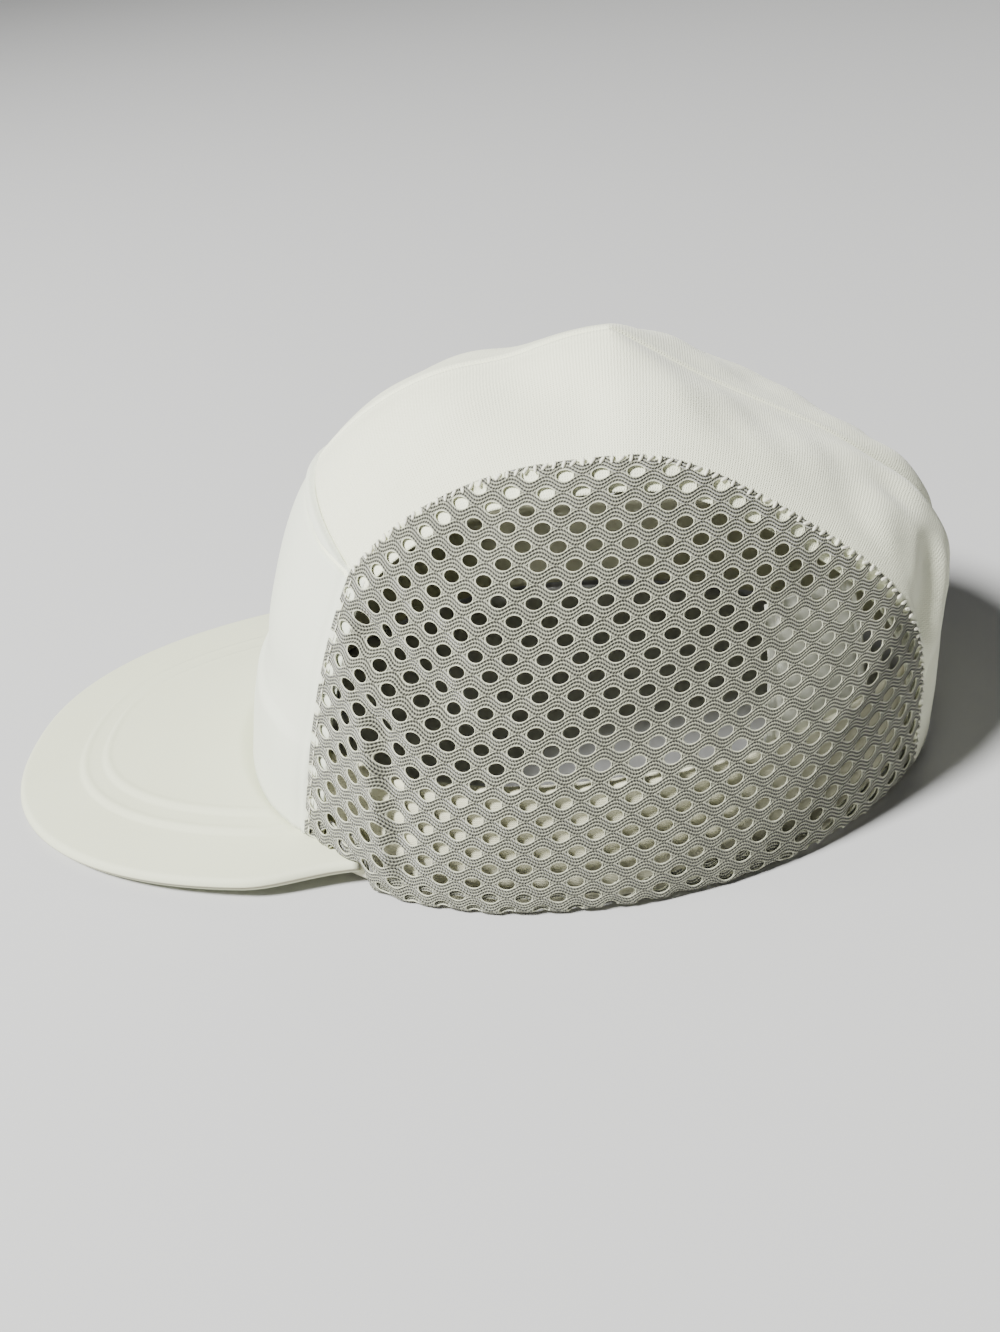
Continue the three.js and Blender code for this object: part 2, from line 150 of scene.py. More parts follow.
def hem_height(angle):
    """The hem stands on the visor in front, reaches the ground at the sides and lifts at the back."""
    foot = surface(angle, 0)
    on_visor = visor_height(foot[..., 0], foot[..., 1]) + VISOR_COVER_TOP + 0.45
    past = smooth(np.abs(angle), VISOR_ANGLE + 3, VISOR_ANGLE + 6)
    return on_visor * (1 - past) + back_lift(angle) * past


def net_arc(place, grow=0.0):
    """The net panel's arc from its front corner, at -1, over the top, at 0, to the back hem, at 1.
    grow widens it by about half a millimetre each."""
    top = 0.705 + grow * 0.004
    front_angle = 98 + place * (55 + grow * 0.3)
    share = np.clip((98 - front_angle) / (62 + grow * 0.3), 0, 1)
    back_angle = 98 + (56 + grow * 0.3) * np.sin(np.maximum(place, 0) * math.pi / 2)
    hem = rise_at(back_angle, hem_height(back_angle))
    back_rise = hem + (top - hem) * np.cos(np.maximum(place, 0) * math.pi / 2)
    return (np.where(place < 0, front_angle, back_angle),
            np.where(place < 0, top * np.cbrt(1 - share ** 3), back_rise))


def front_seam(angle):
    """The front panel's top edge, as a rise."""
    corner = float(net_arc(np.array([-1.0]))[1][0])
    return FRONT_SEAM_RISE + (corner - FRONT_SEAM_RISE) * (angle / NET_FRONT_ANGLE) ** 2


def set_points(piece, points):
    """Puts a piece's vertices at points given in millimetres from the middle of the hem."""
    placed = (points + [0, HEM_MIDDLE_Y, 0]) * 0.001
    piece.data.vertices.foreach_set("co", placed.astype(np.float32).ravel())
    piece.data.update()


def get_points(piece):
    """A piece's vertices as its mesh holds them."""
    points = np.empty(len(piece.data.vertices) * 3, np.float32)
    piece.data.vertices.foreach_get("co", points)
    return points.reshape(-1, 3).astype(float)


def set_weave(piece, flat):
    """The cloth's own flat coordinates, in millimetres, as the one UV map, which the weave follows."""
    while piece.data.uv_layers:
        piece.data.uv_layers.remove(piece.data.uv_layers[0])
    layer = piece.data.uv_layers.new(name="Weave")
    corners = np.empty(len(piece.data.loops), np.int32)
    piece.data.loops.foreach_get("vertex_index", corners)
    layer.data.foreach_set("uv", flat[corners].astype(np.float32).ravel())


def select_only(piece):
    bpy.ops.object.select_all(action="DESELECT")
    piece.select_set(True)
    bpy.context.view_layer.objects.active = piece


def cloth(name, across, up, place, lay, wall):
    """A flat cut of cloth, laid on its place. place and lay take shares across and up the cut, and
    give its points and its flat weave coordinates. Its wall goes inwards."""
    bpy.ops.object.select_all(action="DESELECT")
    bpy.ops.mesh.primitive_grid_add(x_subdivisions=across, y_subdivisions=up, size=1)
    piece = bpy.context.object
    piece.name = piece.data.name = name
    u, v = (get_points(piece) + 0.5)[:, :2].T
    points = place(u, v)
    set_weave(piece, np.stack(lay(u, v, points), -1))
    set_points(piece, points)
    give_wall(piece, wall)
    return piece


def give_wall(piece, wall):
    """Cleans the sheet, turns its outside out and thickens it inwards."""
    select_only(piece)
    bpy.ops.object.mode_set(mode="EDIT")
    bpy.ops.mesh.select_all(action="SELECT")
    bpy.ops.mesh.remove_doubles(threshold=0.00002)
    bpy.ops.mesh.dissolve_degenerate(threshold=0.000005)
    bpy.ops.mesh.normals_make_consistent(inside=False)
    bpy.ops.object.mode_set(mode="OBJECT")
    if outward_share(piece) < 0:
        piece.data.flip_normals()
    bpy.ops.object.modifier_add(type="SOLIDIFY")
    solid = piece.modifiers[-1]
    solid.thickness = wall * 0.001
    solid.offset = -1
    bpy.ops.object.modifier_apply(modifier=solid.name)
    bpy.ops.object.shade_smooth()


def outward_share(piece):
    """Over 0 where most faces look away from the middle of the head opening."""
    middle = Vector((0, HEM_MIDDLE_Y * 0.001, 0.03))
    return sum(
        face.normal.dot((face.center - middle).normalized()) * face.area for face in piece.data.polygons)


def group_socket(tree, name, kind, way, value=None):
    socket = tree.interface.new_socket(name=name, in_out=way, socket_type=kind)
    if value is not None:
        socket.default_value = value


def link(tree, source, target):
    tree.links.new(source, target)


def maths(tree, operation, first, second=None, third=None, clamp=False):
    """A Math node of up to three sockets or numbers."""
    node = tree.nodes.new("ShaderNodeMath")
    node.operation = operation
    node.use_clamp = clamp
    for socket, value in zip(node.inputs, (first, second, third)):
        if isinstance(value, (int, float)):
            socket.default_value = value
        elif value is not None:
            link(tree, value, socket)
    return node.outputs[0]


def noise(tree, place, scale, detail=2):
    """Cloudy noise from 0 to 1."""
    node = tree.nodes.new("ShaderNodeTexNoise")
    node.inputs["Scale"].default_value = scale
    node.inputs["Detail"].default_value = detail
    link(tree, place, node.inputs["Vector"])
    return node.outputs[0]


def mixed_colour(tree, factor, first, second):
    """A colour between two, each of them a socket or its red, green and blue."""
    mix = tree.nodes.new("ShaderNodeMix")
    mix.data_type = "RGBA"
    link(tree, factor, mix.inputs["Factor"])
    for name, colour in (("A", first), ("B", second)):
        if isinstance(colour, tuple):
            mix.inputs[name].default_value = (*colour, 1)
        else:
            link(tree, colour, mix.inputs[name])
    return mix.outputs["Result"]


def weave_group():
    """Plain weave: threads over and under, with their own unevenness. It gives a height and a tone."""
    tree = bpy.data.node_groups.new("Plain weave", "ShaderNodeTree")
    group_socket(tree, "Cloth", "NodeSocketVector", "INPUT")
    group_socket(tree, "Threads across", "NodeSocketFloat", "INPUT", 2.0)
    group_socket(tree, "Threads up", "NodeSocketFloat", "INPUT", 2.0)
    group_socket(tree, "Unevenness", "NodeSocketFloat", "INPUT", 0.4)
    group_socket(tree, "Height", "NodeSocketFloat", "OUTPUT")
    group_socket(tree, "Tone", "NodeSocketFloat", "OUTPUT")
    into, out = tree.nodes.new("NodeGroupInput"), tree.nodes.new("NodeGroupOutput")
    slub = noise(tree, into.outputs["Cloth"], 0.9, 3)
    parts = tree.nodes.new("ShaderNodeSeparateXYZ")
    link(tree, into.outputs["Cloth"], parts.inputs[0])
    wander = maths(tree, "MULTIPLY", slub, into.outputs["Unevenness"])
    waves = []
    for axis, threads in (("X", "Threads across"), ("Y", "Threads up")):
        across = maths(tree, "ADD", parts.outputs[axis], wander)
        turns = maths(tree, "MULTIPLY", across, into.outputs[threads])
        waves.append(maths(tree, "SINE", maths(tree, "MULTIPLY", turns, 2 * math.pi)))
    crossing = maths(tree, "MULTIPLY", waves[0], waves[1])
    ribs = maths(tree, "MULTIPLY", waves[1], 0.4)
    height = maths(tree, "ADD", maths(tree, "MULTIPLY", crossing, 0.6), ribs)
    link(tree, height, out.inputs["Height"])
    link(tree, slub, out.inputs["Tone"])
    return tree


def soft_shade_group():
    """Broad, faint changes of colour: handling, washing and the nap of the cloth."""
    tree = bpy.data.node_groups.new("Handled cloth", "ShaderNodeTree")
    group_socket(tree, "Cloth colour", "NodeSocketColor", "INPUT", (0.8, 0.8, 0.8, 1))
    group_socket(tree, "Shade colour", "NodeSocketColor", "INPUT", (0.7, 0.7, 0.7, 1))
    group_socket(tree, "Tone", "NodeSocketFloat", "INPUT", 0.5)
    group_socket(tree, "Tone strength", "NodeSocketFloat", "INPUT", 0.3)
    group_socket(tree, "Colour", "NodeSocketColor", "OUTPUT")
    into, out = tree.nodes.new("NodeGroupInput"), tree.nodes.new("NodeGroupOutput")
    where = tree.nodes.new("ShaderNodeTexCoord")
    broad = noise(tree, where.outputs["Object"], 28)
    share = maths(tree, "MULTIPLY", maths(tree, "SUBTRACT", broad, 0.35), 0.9, clamp=True)
    off_middle = maths(tree, "SUBTRACT", into.outputs["Tone"], 0.45)
    fine = maths(tree, "MULTIPLY", off_middle, into.outputs["Tone strength"])
    colour = mixed_colour(tree, maths(tree, "ADD", share, fine, clamp=True),
                          into.outputs["Cloth colour"], into.outputs["Shade colour"])
    link(tree, colour, out.inputs["Colour"])
    return tree


WEAVE, HANDLED = weave_group(), soft_shade_group()


def new_material(name, roughness, sheen=0.0, specular=0.5):
    """A material with its node tree and its shader."""
    material = bpy.data.materials.new(name)
    material.use_nodes = True
    shader = material.node_tree.nodes["Principled BSDF"]
    shader.inputs["Roughness"].default_value = roughness
    shader.inputs["Sheen Weight"].default_value = sheen
    shader.inputs["Specular IOR Level"].default_value = specular
    return material, material.node_tree, shader


def press(tree, shader, height, depth):
    """Gives a surface its fine relief, with its depth in millimetres."""
    bump = tree.nodes.new("ShaderNodeBump")
    bump.inputs["Distance"].default_value = depth * 0.001
    bump.inputs["Strength"].default_value = 1
    link(tree, height, bump.inputs["Height"])
    link(tree, bump.outputs[0], shader.inputs["Normal"])


def cloth_material(name, colour, shade, across, up, unevenness, relief, roughness, sheen, tone):
    """A cloth with its own thread counts to the millimetre. relief is the weave's depth in millimetres."""
    material, tree, shader = new_material(name, roughness, sheen, 0.25)
    shader.inputs["Sheen Roughness"].default_value = 0.5
    flat = tree.nodes.new("ShaderNodeUVMap")
    flat.uv_map = "Weave"
    weave = tree.nodes.new("ShaderNodeGroup")
    weave.node_tree = WEAVE
    weave.inputs["Threads across"].default_value = across
    weave.inputs["Threads up"].default_value = up
    weave.inputs["Unevenness"].default_value = unevenness
    link(tree, flat.outputs[0], weave.inputs["Cloth"])
    handled = tree.nodes.new("ShaderNodeGroup")
    handled.node_tree = HANDLED
    handled.inputs["Cloth colour"].default_value = (*colour, 1)
    handled.inputs["Shade colour"].default_value = (*shade, 1)
    handled.inputs["Tone strength"].default_value = tone
    link(tree, weave.outputs["Tone"], handled.inputs["Tone"])
    link(tree, handled.outputs["Colour"], shader.inputs["Base Color"])
    press(tree, shader, weave.outputs["Height"], relief)
    return material


def finish_in(piece, material):
    """Gives a piece its one finish."""
    piece.data.materials.clear()
    piece.data.materials.append(material)


def dress(piece, material, slot, *nodes):
    """Gives a piece its cloth and its place in the frame."""
    finish_in(piece, material)
    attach(piece, "root")
    if nodes:
        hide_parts(*nodes)


def fall(distance, width):
    """1 at a line, 0 a few widths from it."""
    return np.exp(-(distance / width) ** 2)


def slack(points, size, seed):
    """Small, soft unevenness of sewn cloth, up to about size millimetres."""
    x, y, z = points[..., 0], points[..., 1], points[..., 2]
    waves = (np.sin(0.11 * x + 0.07 * y + seed) * np.sin(0.09 * z - 0.05 * y + 2 * seed)
             + 0.5 * np.sin(0.21 * y - 0.17 * z + 3 * seed) * np.sin(0.19 * x + 0.13 * z + seed))
    return size * waves / 1.5


FELL_WIDTH = 3.2
TURNED_UNDER = -0.75
CLOTH_WALL = 0.5
HEM_DEGREE = 1.45  # how far the hem runs in a degree, by the front corner of the net
NET_LAP = 3.6  # degrees of the front panel that lie under the net


def front_panel_place(u, v):
    """From the visor to the felled seam, with its ends under the nets."""
    angle = (2 * u - 1) * (NET_FRONT_ANGLE + NET_LAP)
    foot = rise_at(angle, hem_height(angle))
    top = front_seam(np.clip(angle, -NET_FRONT_ANGLE, NET_FRONT_ANGLE))
    share = v ** 0.72
    rise = foot + (top - foot) * share
    below_seam = (top - rise) * SLOPE_LENGTH
    points = surface(angle, rise)
    width = FELL_WIDTH * (1 - 0.75 * smooth(np.abs(angle), 28, 42))
    fell = 1.0 * (1 - smooth(below_seam, width - 0.3, width + 0.5)) - 1.6 * fall(below_seam, 0.6)
    groove = -1.3 * fall(below_seam - width - 0.75, 0.65)
    height = points[..., 2]
    over_band = (1.5 * (1 - smooth(height, BAND_TOP - 2.5, BAND_TOP + 1.5))
                 - 0.9 * fall(height - BAND_TOP - 7, 6.0)) * (1 - 0.85 * smooth(np.abs(angle), 30, 41))
    calm = smooth(below_seam, 0, 12) * smooth(share, 0, 0.2)
    seam_pull = (-0.45 * fall((np.abs(angle) - 40.6) * HEM_DEGREE, 0.7)
                 + 0.25 * fall((np.abs(angle) - 38.4) * HEM_DEGREE, 1.4))
    turned = smooth(np.abs(angle), 41.8, 42.8)
    out = fell + groove + over_band + seam_pull + slack(points, 0.7, 1.0) * calm
    return crown(angle, rise, out * (1 - turned) + TURNED_UNDER * turned)


front_cloth = cloth_material(
    "Front cloth", (0.75, 0.785, 0.64), (0.69, 0.72, 0.57), 2.4, 2.4, 0.25, 0.035, 0.82, 0.25, 0.25)
front_panel = cloth(
    "front_panel_cloth", 150, 200, front_panel_place,
    lambda u, v, points: (points[:, 0] * 1.05, points[:, 2] * 1.04), CLOTH_WALL)
dress(front_panel, front_cloth, "front_cloth", "front_panel")


# ---------------------------------------------------------------------------------------------
# TOP PANELS
# A left and a right half of ribbed ivory cotton, joined by one seam from the front panel over the
# peak and down the back to the hem. The ribs run from side to side. The back hangs a little slack.
# ---------------------------------------------------------------------------------------------
RIB_CENTRE_Y, RIB_CENTRE_Z, RIB_RADIUS = 12.0, 28.0, 92.0
ALLOWANCE = 6.5
ALLOWANCE_SHARE = 0.09
FRONT_SHARE, BACK_SHARE = 0.2, 0.75


def top_edge(u, under):
    """The lower edge of the left half, from the middle of the front seam to the back of the hem.
    under goes from 0 at the turned edge to 1 at the cut edge, which lies behind the next piece."""
    front = NET_FRONT_ANGLE * np.clip(u / FRONT_SHARE, 0, 1) ** 1.4
    along_arc = np.clip((u - FRONT_SHARE) / (BACK_SHARE - FRONT_SHARE), 0, 1) * 2 - 1
    arc_angle, arc_rise = net_arc(along_arc, 1 - ALLOWANCE * 2 * under)
    back = 154.4 + 25.6 * (1 - (1 - np.clip((u - BACK_SHARE) / (1 - BACK_SHARE), 0, 1)) ** 1.4)
    angle = np.where(u < FRONT_SHARE, front, np.where(u < BACK_SHARE, arc_angle, back))
    front_rise = front_seam(front) - under * ALLOWANCE / SLOPE_LENGTH
    back_rise = rise_at(back, hem_height(back) + under * ALLOWANCE)
    return angle, np.where(u < FRONT_SHARE, front_rise, np.where(u < BACK_SHARE, arc_rise, back_rise))


def nearest_on(a, b, points):
    """The nearest place to each point on the straight way from a to b, how far off it is, and its
    share of the way, which runs on past both ends."""
    way = b - a
    share = ((points - a) @ way) / max(way @ way, 1e-9)
    place = a + np.clip(share, 0, 1)[..., None] * way
    return place, np.linalg.norm(points - place, axis=-1), share


def folds_on(angle, rise, *folds):
    """Soft folds along lines between two (angle, rise) places. Each has its height and its width."""
    points = surface(angle, rise)
    total = 0
    for height, start, end, width in folds:
        _, off, share = nearest_on(surface(*start), surface(*end), points)
        fade = smooth(share, -0.15, 0.25) * (1 - smooth(share, 0.75, 1.15))
        total = total + height * fall(off, width) * fade
    return total


def back_valley(points):
    """The centre seam draws in the slack cloth above the band at the back, so that it bulges beside it."""
    from_middle, height = np.abs(points[..., 0]), points[..., 2]
    at_back = smooth(points[..., 1], 60, 90) * smooth(height, 34, 48) * (1 - smooth(height, 70, 92))
    return at_back * (1.7 * fall(from_middle - 10, 5.0) - 3.0 * fall(from_middle, 3.2))


def peak_hollow(points):
    """The cloth sinks a little in front of the peak and, less, behind it."""
    ahead, from_middle = points[..., 1] - PEAK_SETBACK, points[..., 0]
    away = np.hypot(ahead, from_middle)
    in_front = smooth(-ahead, -6, 10)
    depth = 2.2 * in_front + 0.6 * (1 - in_front)
    return -depth * fall(away - 27, 13.0) * smooth(points[..., 2], 70, 92)


def top_panel_place(u, v):
    """From the turned-under edge, over the folds and slack of the back, up to the centre seam."""
    under = np.clip(1 - v / ALLOWANCE_SHARE, 0, 1)
    angle, foot = top_edge(u, under)
    rise = foot + (1 - foot) * np.clip((v - ALLOWANCE_SHARE) / (1 - ALLOWANCE_SHARE), 0, 1)
    points = surface(angle, rise)
    from_middle = np.abs(points[..., 0])
    seam = -0.8 * fall(from_middle, 0.7) + 0.3 * fall(from_middle - 2.2, 1.3)
    above_edge = (rise - foot) * SLOPE_LENGTH
    front_edge = np.where(u < FRONT_SHARE, -0.8 * fall(above_edge, 0.6), 0)
    turned = smooth(under * ALLOWANCE, 0.0, 1.0)
    calm = smooth(above_edge, 7.5, 27.5) * smooth(from_middle, 1, 14) * (1 - smooth(rise, 0.85, 1))
    folds = folds_on(angle, rise, (-2.4, (163.0, 0.43), (149.0, 0.24), 5.0),
                     (1.5, (168.0, 0.40), (155.0, 0.19), 6.0), (-1.6, (164.0, 0.26), (156.0, 0.10), 3.6),
                     (1.0, (146.0, 0.50), (160.0, 0.56), 8.0))
    folds = folds * smooth(from_middle, 2, 8) * smooth(above_edge, 5, 13)
    sewn = seam + front_edge + back_valley(points) + peak_hollow(points)
    out = sewn + folds + slack(points, 1.2, 2.3) * calm
    return crown(angle, rise, out * (1 - turned) + TURNED_UNDER * turned)


def rib_lay(u, v, points):
    """The ribs run from side to side, at even steps round the crown's curve from front to back."""
    turn = np.arctan2(points[:, 1] - RIB_CENTRE_Y, points[:, 2] - RIB_CENTRE_Z)
    return points[:, 0] * 1.1, turn * RIB_RADIUS


def mirror_copy(piece, name):
    """The same piece for the other side of the cap, with its own mesh."""
    select_only(piece)
    bpy.ops.object.duplicate()
    copy = bpy.context.object
    copy.name = copy.data.name = name
    copy.parent = None
    copy.data.transform(Matrix.Scale(-1, 4, (1, 0, 0)))
    copy.data.flip_normals()
    return copy


crown_cloth = cloth_material(
    "Ribbed crown cloth", (0.87, 0.89, 0.67), (0.78, 0.79, 0.57), 1.5, 1.18, 0.7, 0.075, 0.9, 0.35, 0.6)
top_left = cloth("top_panel_left_cloth", 230, 120, top_panel_place, rib_lay, CLOTH_WALL)
top_right = mirror_copy(top_left, "top_panel_right_cloth")
for panel, side in ((top_left, "left"), (top_right, "right")):
    dress(panel, crown_cloth, "crown_cloth", f"top_panel_{side}")


# ---------------------------------------------------------------------------------------------
# SIDE NET PANELS
# Thick knitted net with oval holes in staggered rows. Cords of knitting run in waves round the
# holes. Its edge lies over the top panel's turned edge, and its foot is turned up inside.
# ---------------------------------------------------------------------------------------------
HOLE_PITCH = 8.45
ROW_PITCH = 4.37
HOLE_WIDTH = 4.1
HOLE_HEIGHT = 3.0
HOLE_POINTS = 20
COURSE_WAVE = 0.92
COURSE_PITCH = 0.92
STITCHES_ACROSS = 12
NET_LEAN = 0.039
NET_ROW_AT = 27.4
NET_COLUMN_AT = -22.9
NET_WALL = 0.5
NET_PROUD = 0.35
NET_TURN_UP = 7.5
TURN_REACH, TURN_RADIUS = 1.2, 0.65  # of the bend at the net's foot
ARC_TOP_ANGLE = 98.0
RING_SHARES = np.array([0, 0.16, 0.4, 0.7, 1.0])  # the rings of a cell, from its hole to its edge
RING_HEIGHTS = np.array([-0.1, 0.06, -0.02, -0.02, -0.02])
RIM_END = 0.2  # the share of a cell at which its smooth rim ends

# How long the crown is round each level from the highest place of the arc, and up from the hem
LEVELS = np.linspace(0, 0.8, 161)
ROUND_ANGLES = np.linspace(30, 175, 581)
hoops = surface(ROUND_ANGLES[None, :], LEVELS[:, None])
hoop_steps = np.linalg.norm(np.diff(hoops, axis=1), axis=2)
ROUND_LENGTHS = np.concatenate([np.zeros((len(LEVELS), 1)), np.cumsum(hoop_steps, axis=1)], axis=1)
at_top = int(np.argmin(np.abs(ROUND_ANGLES - ARC_TOP_ANGLE)))
ROUND_LENGTHS -= ROUND_LENGTHS[:, at_top:at_top + 1]
UP_LENGTHS = np.concatenate([[0], np.cumsum(np.linalg.norm(np.diff(hoops[:, at_top], axis=0), axis=1))])


def from_table(table, level, value_at):
    """Reads a table that has a row for each level, between its rows. value_at reads one row."""
    place = np.clip(level / (LEVELS[1] - LEVELS[0]), 0, len(LEVELS) - 1.001)
    low = place.astype(int)
    share = place - low
    found = np.empty(level.shape)
    for row in np.unique(low):
        pick = low == row
        a, b = value_at(table[row], pick), value_at(table[row + 1], pick)
        found[pick] = a * (1 - share[pick]) + b * share[pick]
    return found


def row_lift(angle, up):
    """The rows of holes climb a little towards the visor and sink a little towards the back."""
    return (6.0 * (1 - smooth(angle, 44, 70)) * (1 - smooth(up, 0, 80))
            - 5.0 * smooth(angle, 88, 138) * (1 - smooth(up, 70, 115)))


def crown_to_net(angle, rise):
    """Flat net coordinates of a place of the crown: round from the arc's top, and up from the ground."""
    round_it = from_table(
        ROUND_LENGTHS, rise, lambda row, pick: np.interp(angle[pick], ROUND_ANGLES, row))
    up = height = np.interp(rise, LEVELS, UP_LENGTHS)
    for _ in range(8):
        up = height - row_lift(angle, up)
    return round_it, up


def net_to_crown(round_it, up):
    """The place of the crown where a flat point of the net comes to lie, and how far below the
    hem it would be: that much is turned up inside."""
    height = np.maximum(up, 0)
    for _ in range(4):
        rise = np.interp(height, UP_LENGTHS, LEVELS)
        angle = from_table(
            ROUND_LENGTHS, rise, lambda row, pick: np.interp(round_it[pick], row, ROUND_ANGLES))
        height = up + row_lift(angle, up)
    hem = np.interp(rise_at(angle, hem_height(angle)), LEVELS, UP_LENGTHS)
    below = hem - height
    return angle, np.interp(np.where(below > 0, hem + below, height), UP_LENGTHS, LEVELS), below


def net_outline():
    """The net's cut edge on the flat: the front edge, the arc, and the foot with its turn-up."""
    arc_angle, arc_rise = net_arc(np.linspace(-1, 1, 161), 2.5)
    front_rise = np.linspace(0, arc_rise[0], 40)[:-1]
    front_angle = np.full(front_rise.shape, NET_FRONT_ANGLE - 0.9)
    angle, rise = np.concatenate([front_angle, arc_angle]), np.concatenate([front_rise, arc_rise])
    rise = np.maximum(rise, rise_at(angle, hem_height(angle)))
    round_it, up = crown_to_net(angle, rise)
    foot_angle = np.linspace(angle[-1], angle[0], 80)
    foot_round, foot_up = crown_to_net(foot_angle, rise_at(foot_angle, hem_height(foot_angle)))
    foot = np.stack([foot_round, foot_up - NET_TURN_UP], -1)
    return np.concatenate([np.stack([round_it, up], -1), foot])


def net_cell():
    """One hole with its share of the knitting, a diamond: a ring drawn out and widened in steps."""
    bpy.ops.object.select_all(action="DESELECT")
    bpy.ops.mesh.primitive_circle_add(vertices=HOLE_POINTS, radius=1, fill_type="NOTHING")
    cell = bpy.context.object
    bpy.ops.object.mode_set(mode="EDIT")
    bpy.ops.mesh.select_all(action="SELECT")
    for step in range(1, len(RING_SHARES)):
        bpy.ops.mesh.extrude_region_move()
        bpy.ops.transform.resize(value=((step + 1) / step,) * 3)
    bpy.ops.object.mode_set(mode="OBJECT")
    points = get_points(cell)
    ring = np.round(np.hypot(points[:, 0], points[:, 1])).astype(int) - 1
    turn = np.arctan2(points[:, 0], points[:, 1])
    hole = np.stack([
        HOLE_WIDTH / 2 * np.sign(np.sin(turn)) * np.abs(np.sin(turn)) ** 1.06,
        HOLE_HEIGHT / 2 * np.sign(np.cos(turn)) * np.abs(np.cos(turn)) ** 0.95], -1)
    step = np.round(turn / (2 * math.pi) * HOLE_POINTS).astype(int)
    half = HOLE_POINTS // 2
    side = np.abs(np.abs(step) - half / 2) <= 1
    across = np.where(side, 1, np.where(np.abs(step) < half / 2, np.abs(step), half - np.abs(step)) / 4)
    top = ROW_PITCH / 2 + COURSE_WAVE * np.cos(math.pi * across)
    above = np.where(np.abs(step) < half / 2, 1, np.where(np.abs(step) == half / 2, 0, -1))
    edge = np.stack([HOLE_PITCH / 2 * across * np.sign(step), top * above], -1)
    share = RING_SHARES[ring][:, None]
    flat = hole * (1 - share) + edge * share
    for vertex, (x, y), z in zip(cell.data.vertices, flat, RING_HEIGHTS[ring]):
        vertex.co = (x, y, z)
    set_weave(cell, flat)
    rim = cell.data.attributes.new("rim", "FLOAT", "POINT")
    rim.data.foreach_set("value", (1 - share[:, 0] / RIM_END).clip(0, 1).astype(np.float32))
    return cell


def net_sheet(name, outline):
    """A rectangle of net from the one cell, then cut to the outline. Points that fall just outside
    it are drawn onto its edge."""
    cell = net_cell()
    cell.name = cell.data.name = name
    low, high = outline.min(0) - 6, outline.max(0) + 6
    first_row = math.floor((low[1] - NET_ROW_AT) / ROW_PITCH / 2) * 2
    rows = math.ceil((high[1] - low[1]) / ROW_PITCH / 2) + 2
    first_column = math.floor((low[0] - NET_COLUMN_AT) / HOLE_PITCH) - 1
    columns = math.ceil((high[0] - low[0]) / HOLE_PITCH) + 3
    for count, offset in ((2, (HOLE_PITCH / 2, ROW_PITCH, 0)), (rows, (0, 2 * ROW_PITCH, 0)),
                          (columns, (HOLE_PITCH, 0, 0))):
        bpy.ops.object.modifier_add(type="ARRAY")
        repeat = cell.modifiers[-1]
        repeat.count = count
        repeat.use_relative_offset = False
        repeat.use_constant_offset = True
        repeat.constant_offset_displace = offset
        bpy.ops.object.modifier_apply(modifier=repeat.name)
    select_only(cell)
    bpy.ops.object.mode_set(mode="EDIT")
    bpy.ops.mesh.select_mode(type="VERT")
    bpy.ops.mesh.select_all(action="SELECT")
    bpy.ops.mesh.remove_doubles(threshold=0.01)
    bpy.ops.mesh.select_all(action="DESELECT")
    bpy.ops.mesh.select_mode(type="FACE")
    bpy.ops.object.mode_set(mode="OBJECT")
    points = get_points(cell)
    points[:, 0] += NET_COLUMN_AT + first_column * HOLE_PITCH
    points[:, 1] += NET_ROW_AT + first_row * ROW_PITCH
    points[:, 0] += NET_LEAN * (points[:, 1] - NET_ROW_AT)
    inside, nearest, _ = beside_outline(points[:, :2], outline)
    points[~inside, :2] = nearest[~inside]
    cell.data.vertices.foreach_set("co", points.astype(np.float32).ravel())
    for face in cell.data.polygons:
        face.select = not any(inside[i] for i in face.vertices)
    bpy.ops.object.mode_set(mode="EDIT")
    bpy.ops.mesh.delete(type="FACE")
    bpy.ops.mesh.select_mode(type="VERT")
    bpy.ops.mesh.select_all(action="SELECT")
    bpy.ops.mesh.delete_loose()
    bpy.ops.object.mode_set(mode="OBJECT")
    return cell


def beside_outline(flat, outline):
    """For each flat point: whether it is inside the closed outline, the nearest point of the
    outline, and how far that is."""
    inside = np.zeros(len(flat), bool)
    best = np.full(len(flat), 1e9)
    nearest = flat.copy()
    for a, b in zip(outline, np.roll(outline, -1, axis=0)):
        crosses = (a[1] > flat[:, 1]) != (b[1] > flat[:, 1])
        with np.errstate(divide="ignore", invalid="ignore"):
            at = a[0] + (flat[:, 1] - a[1]) * (b[0] - a[0]) / (b[1] - a[1])
        inside ^= crosses & (flat[:, 0] < at)
        place, distance, _ = nearest_on(a, b, flat)
        closer = distance < best
        best[closer], nearest[closer] = distance[closer], place[closer]
    return inside, nearest, best


def net_slack(angle, rise):
    """The pucker by the front corner, the slanting dents above it and the net's own unevenness."""
    points = surface(angle, rise)
    pucker_rises = (0, 0.08, 0.16, 0.233, 0.311, 0.386, 0.46)
    pucker_angle = np.interp(rise, pucker_rises, (66.5, 64.2, 62.2, 59.5, 54.8, 49.0, 44.0))
    past = (angle - pucker_angle) * 1.5
    swell = 2.5 * (1 - smooth(past, -2.6, 2.0)) * fall(np.minimum(past, 0), 9.0) - 0.7 * fall(past - 3.6, 2.4)
    corner = swell * (1 - smooth(rise, 0.22, 0.34)) * smooth(rise, -0.01, 0.09)
    dents = folds_on(angle, rise, (-3.6, (46.0, 0.42), (73.0, 0.335), 3.8),
                     (2.0, (46.0, 0.345), (70.0, 0.275), 4.4), (-2.0, (50.0, 0.33), (62.0, 0.27), 2.6),
                     (-1.6, (52.0, 0.47), (74.0, 0.40), 4.0))
    above_band = smooth(points[..., 2], BAND_TOP - 6, BAND_TOP + 8)
    return corner + dents + slack(points, 1.0, 4.1) * (0.35 + 0.65 * above_band)


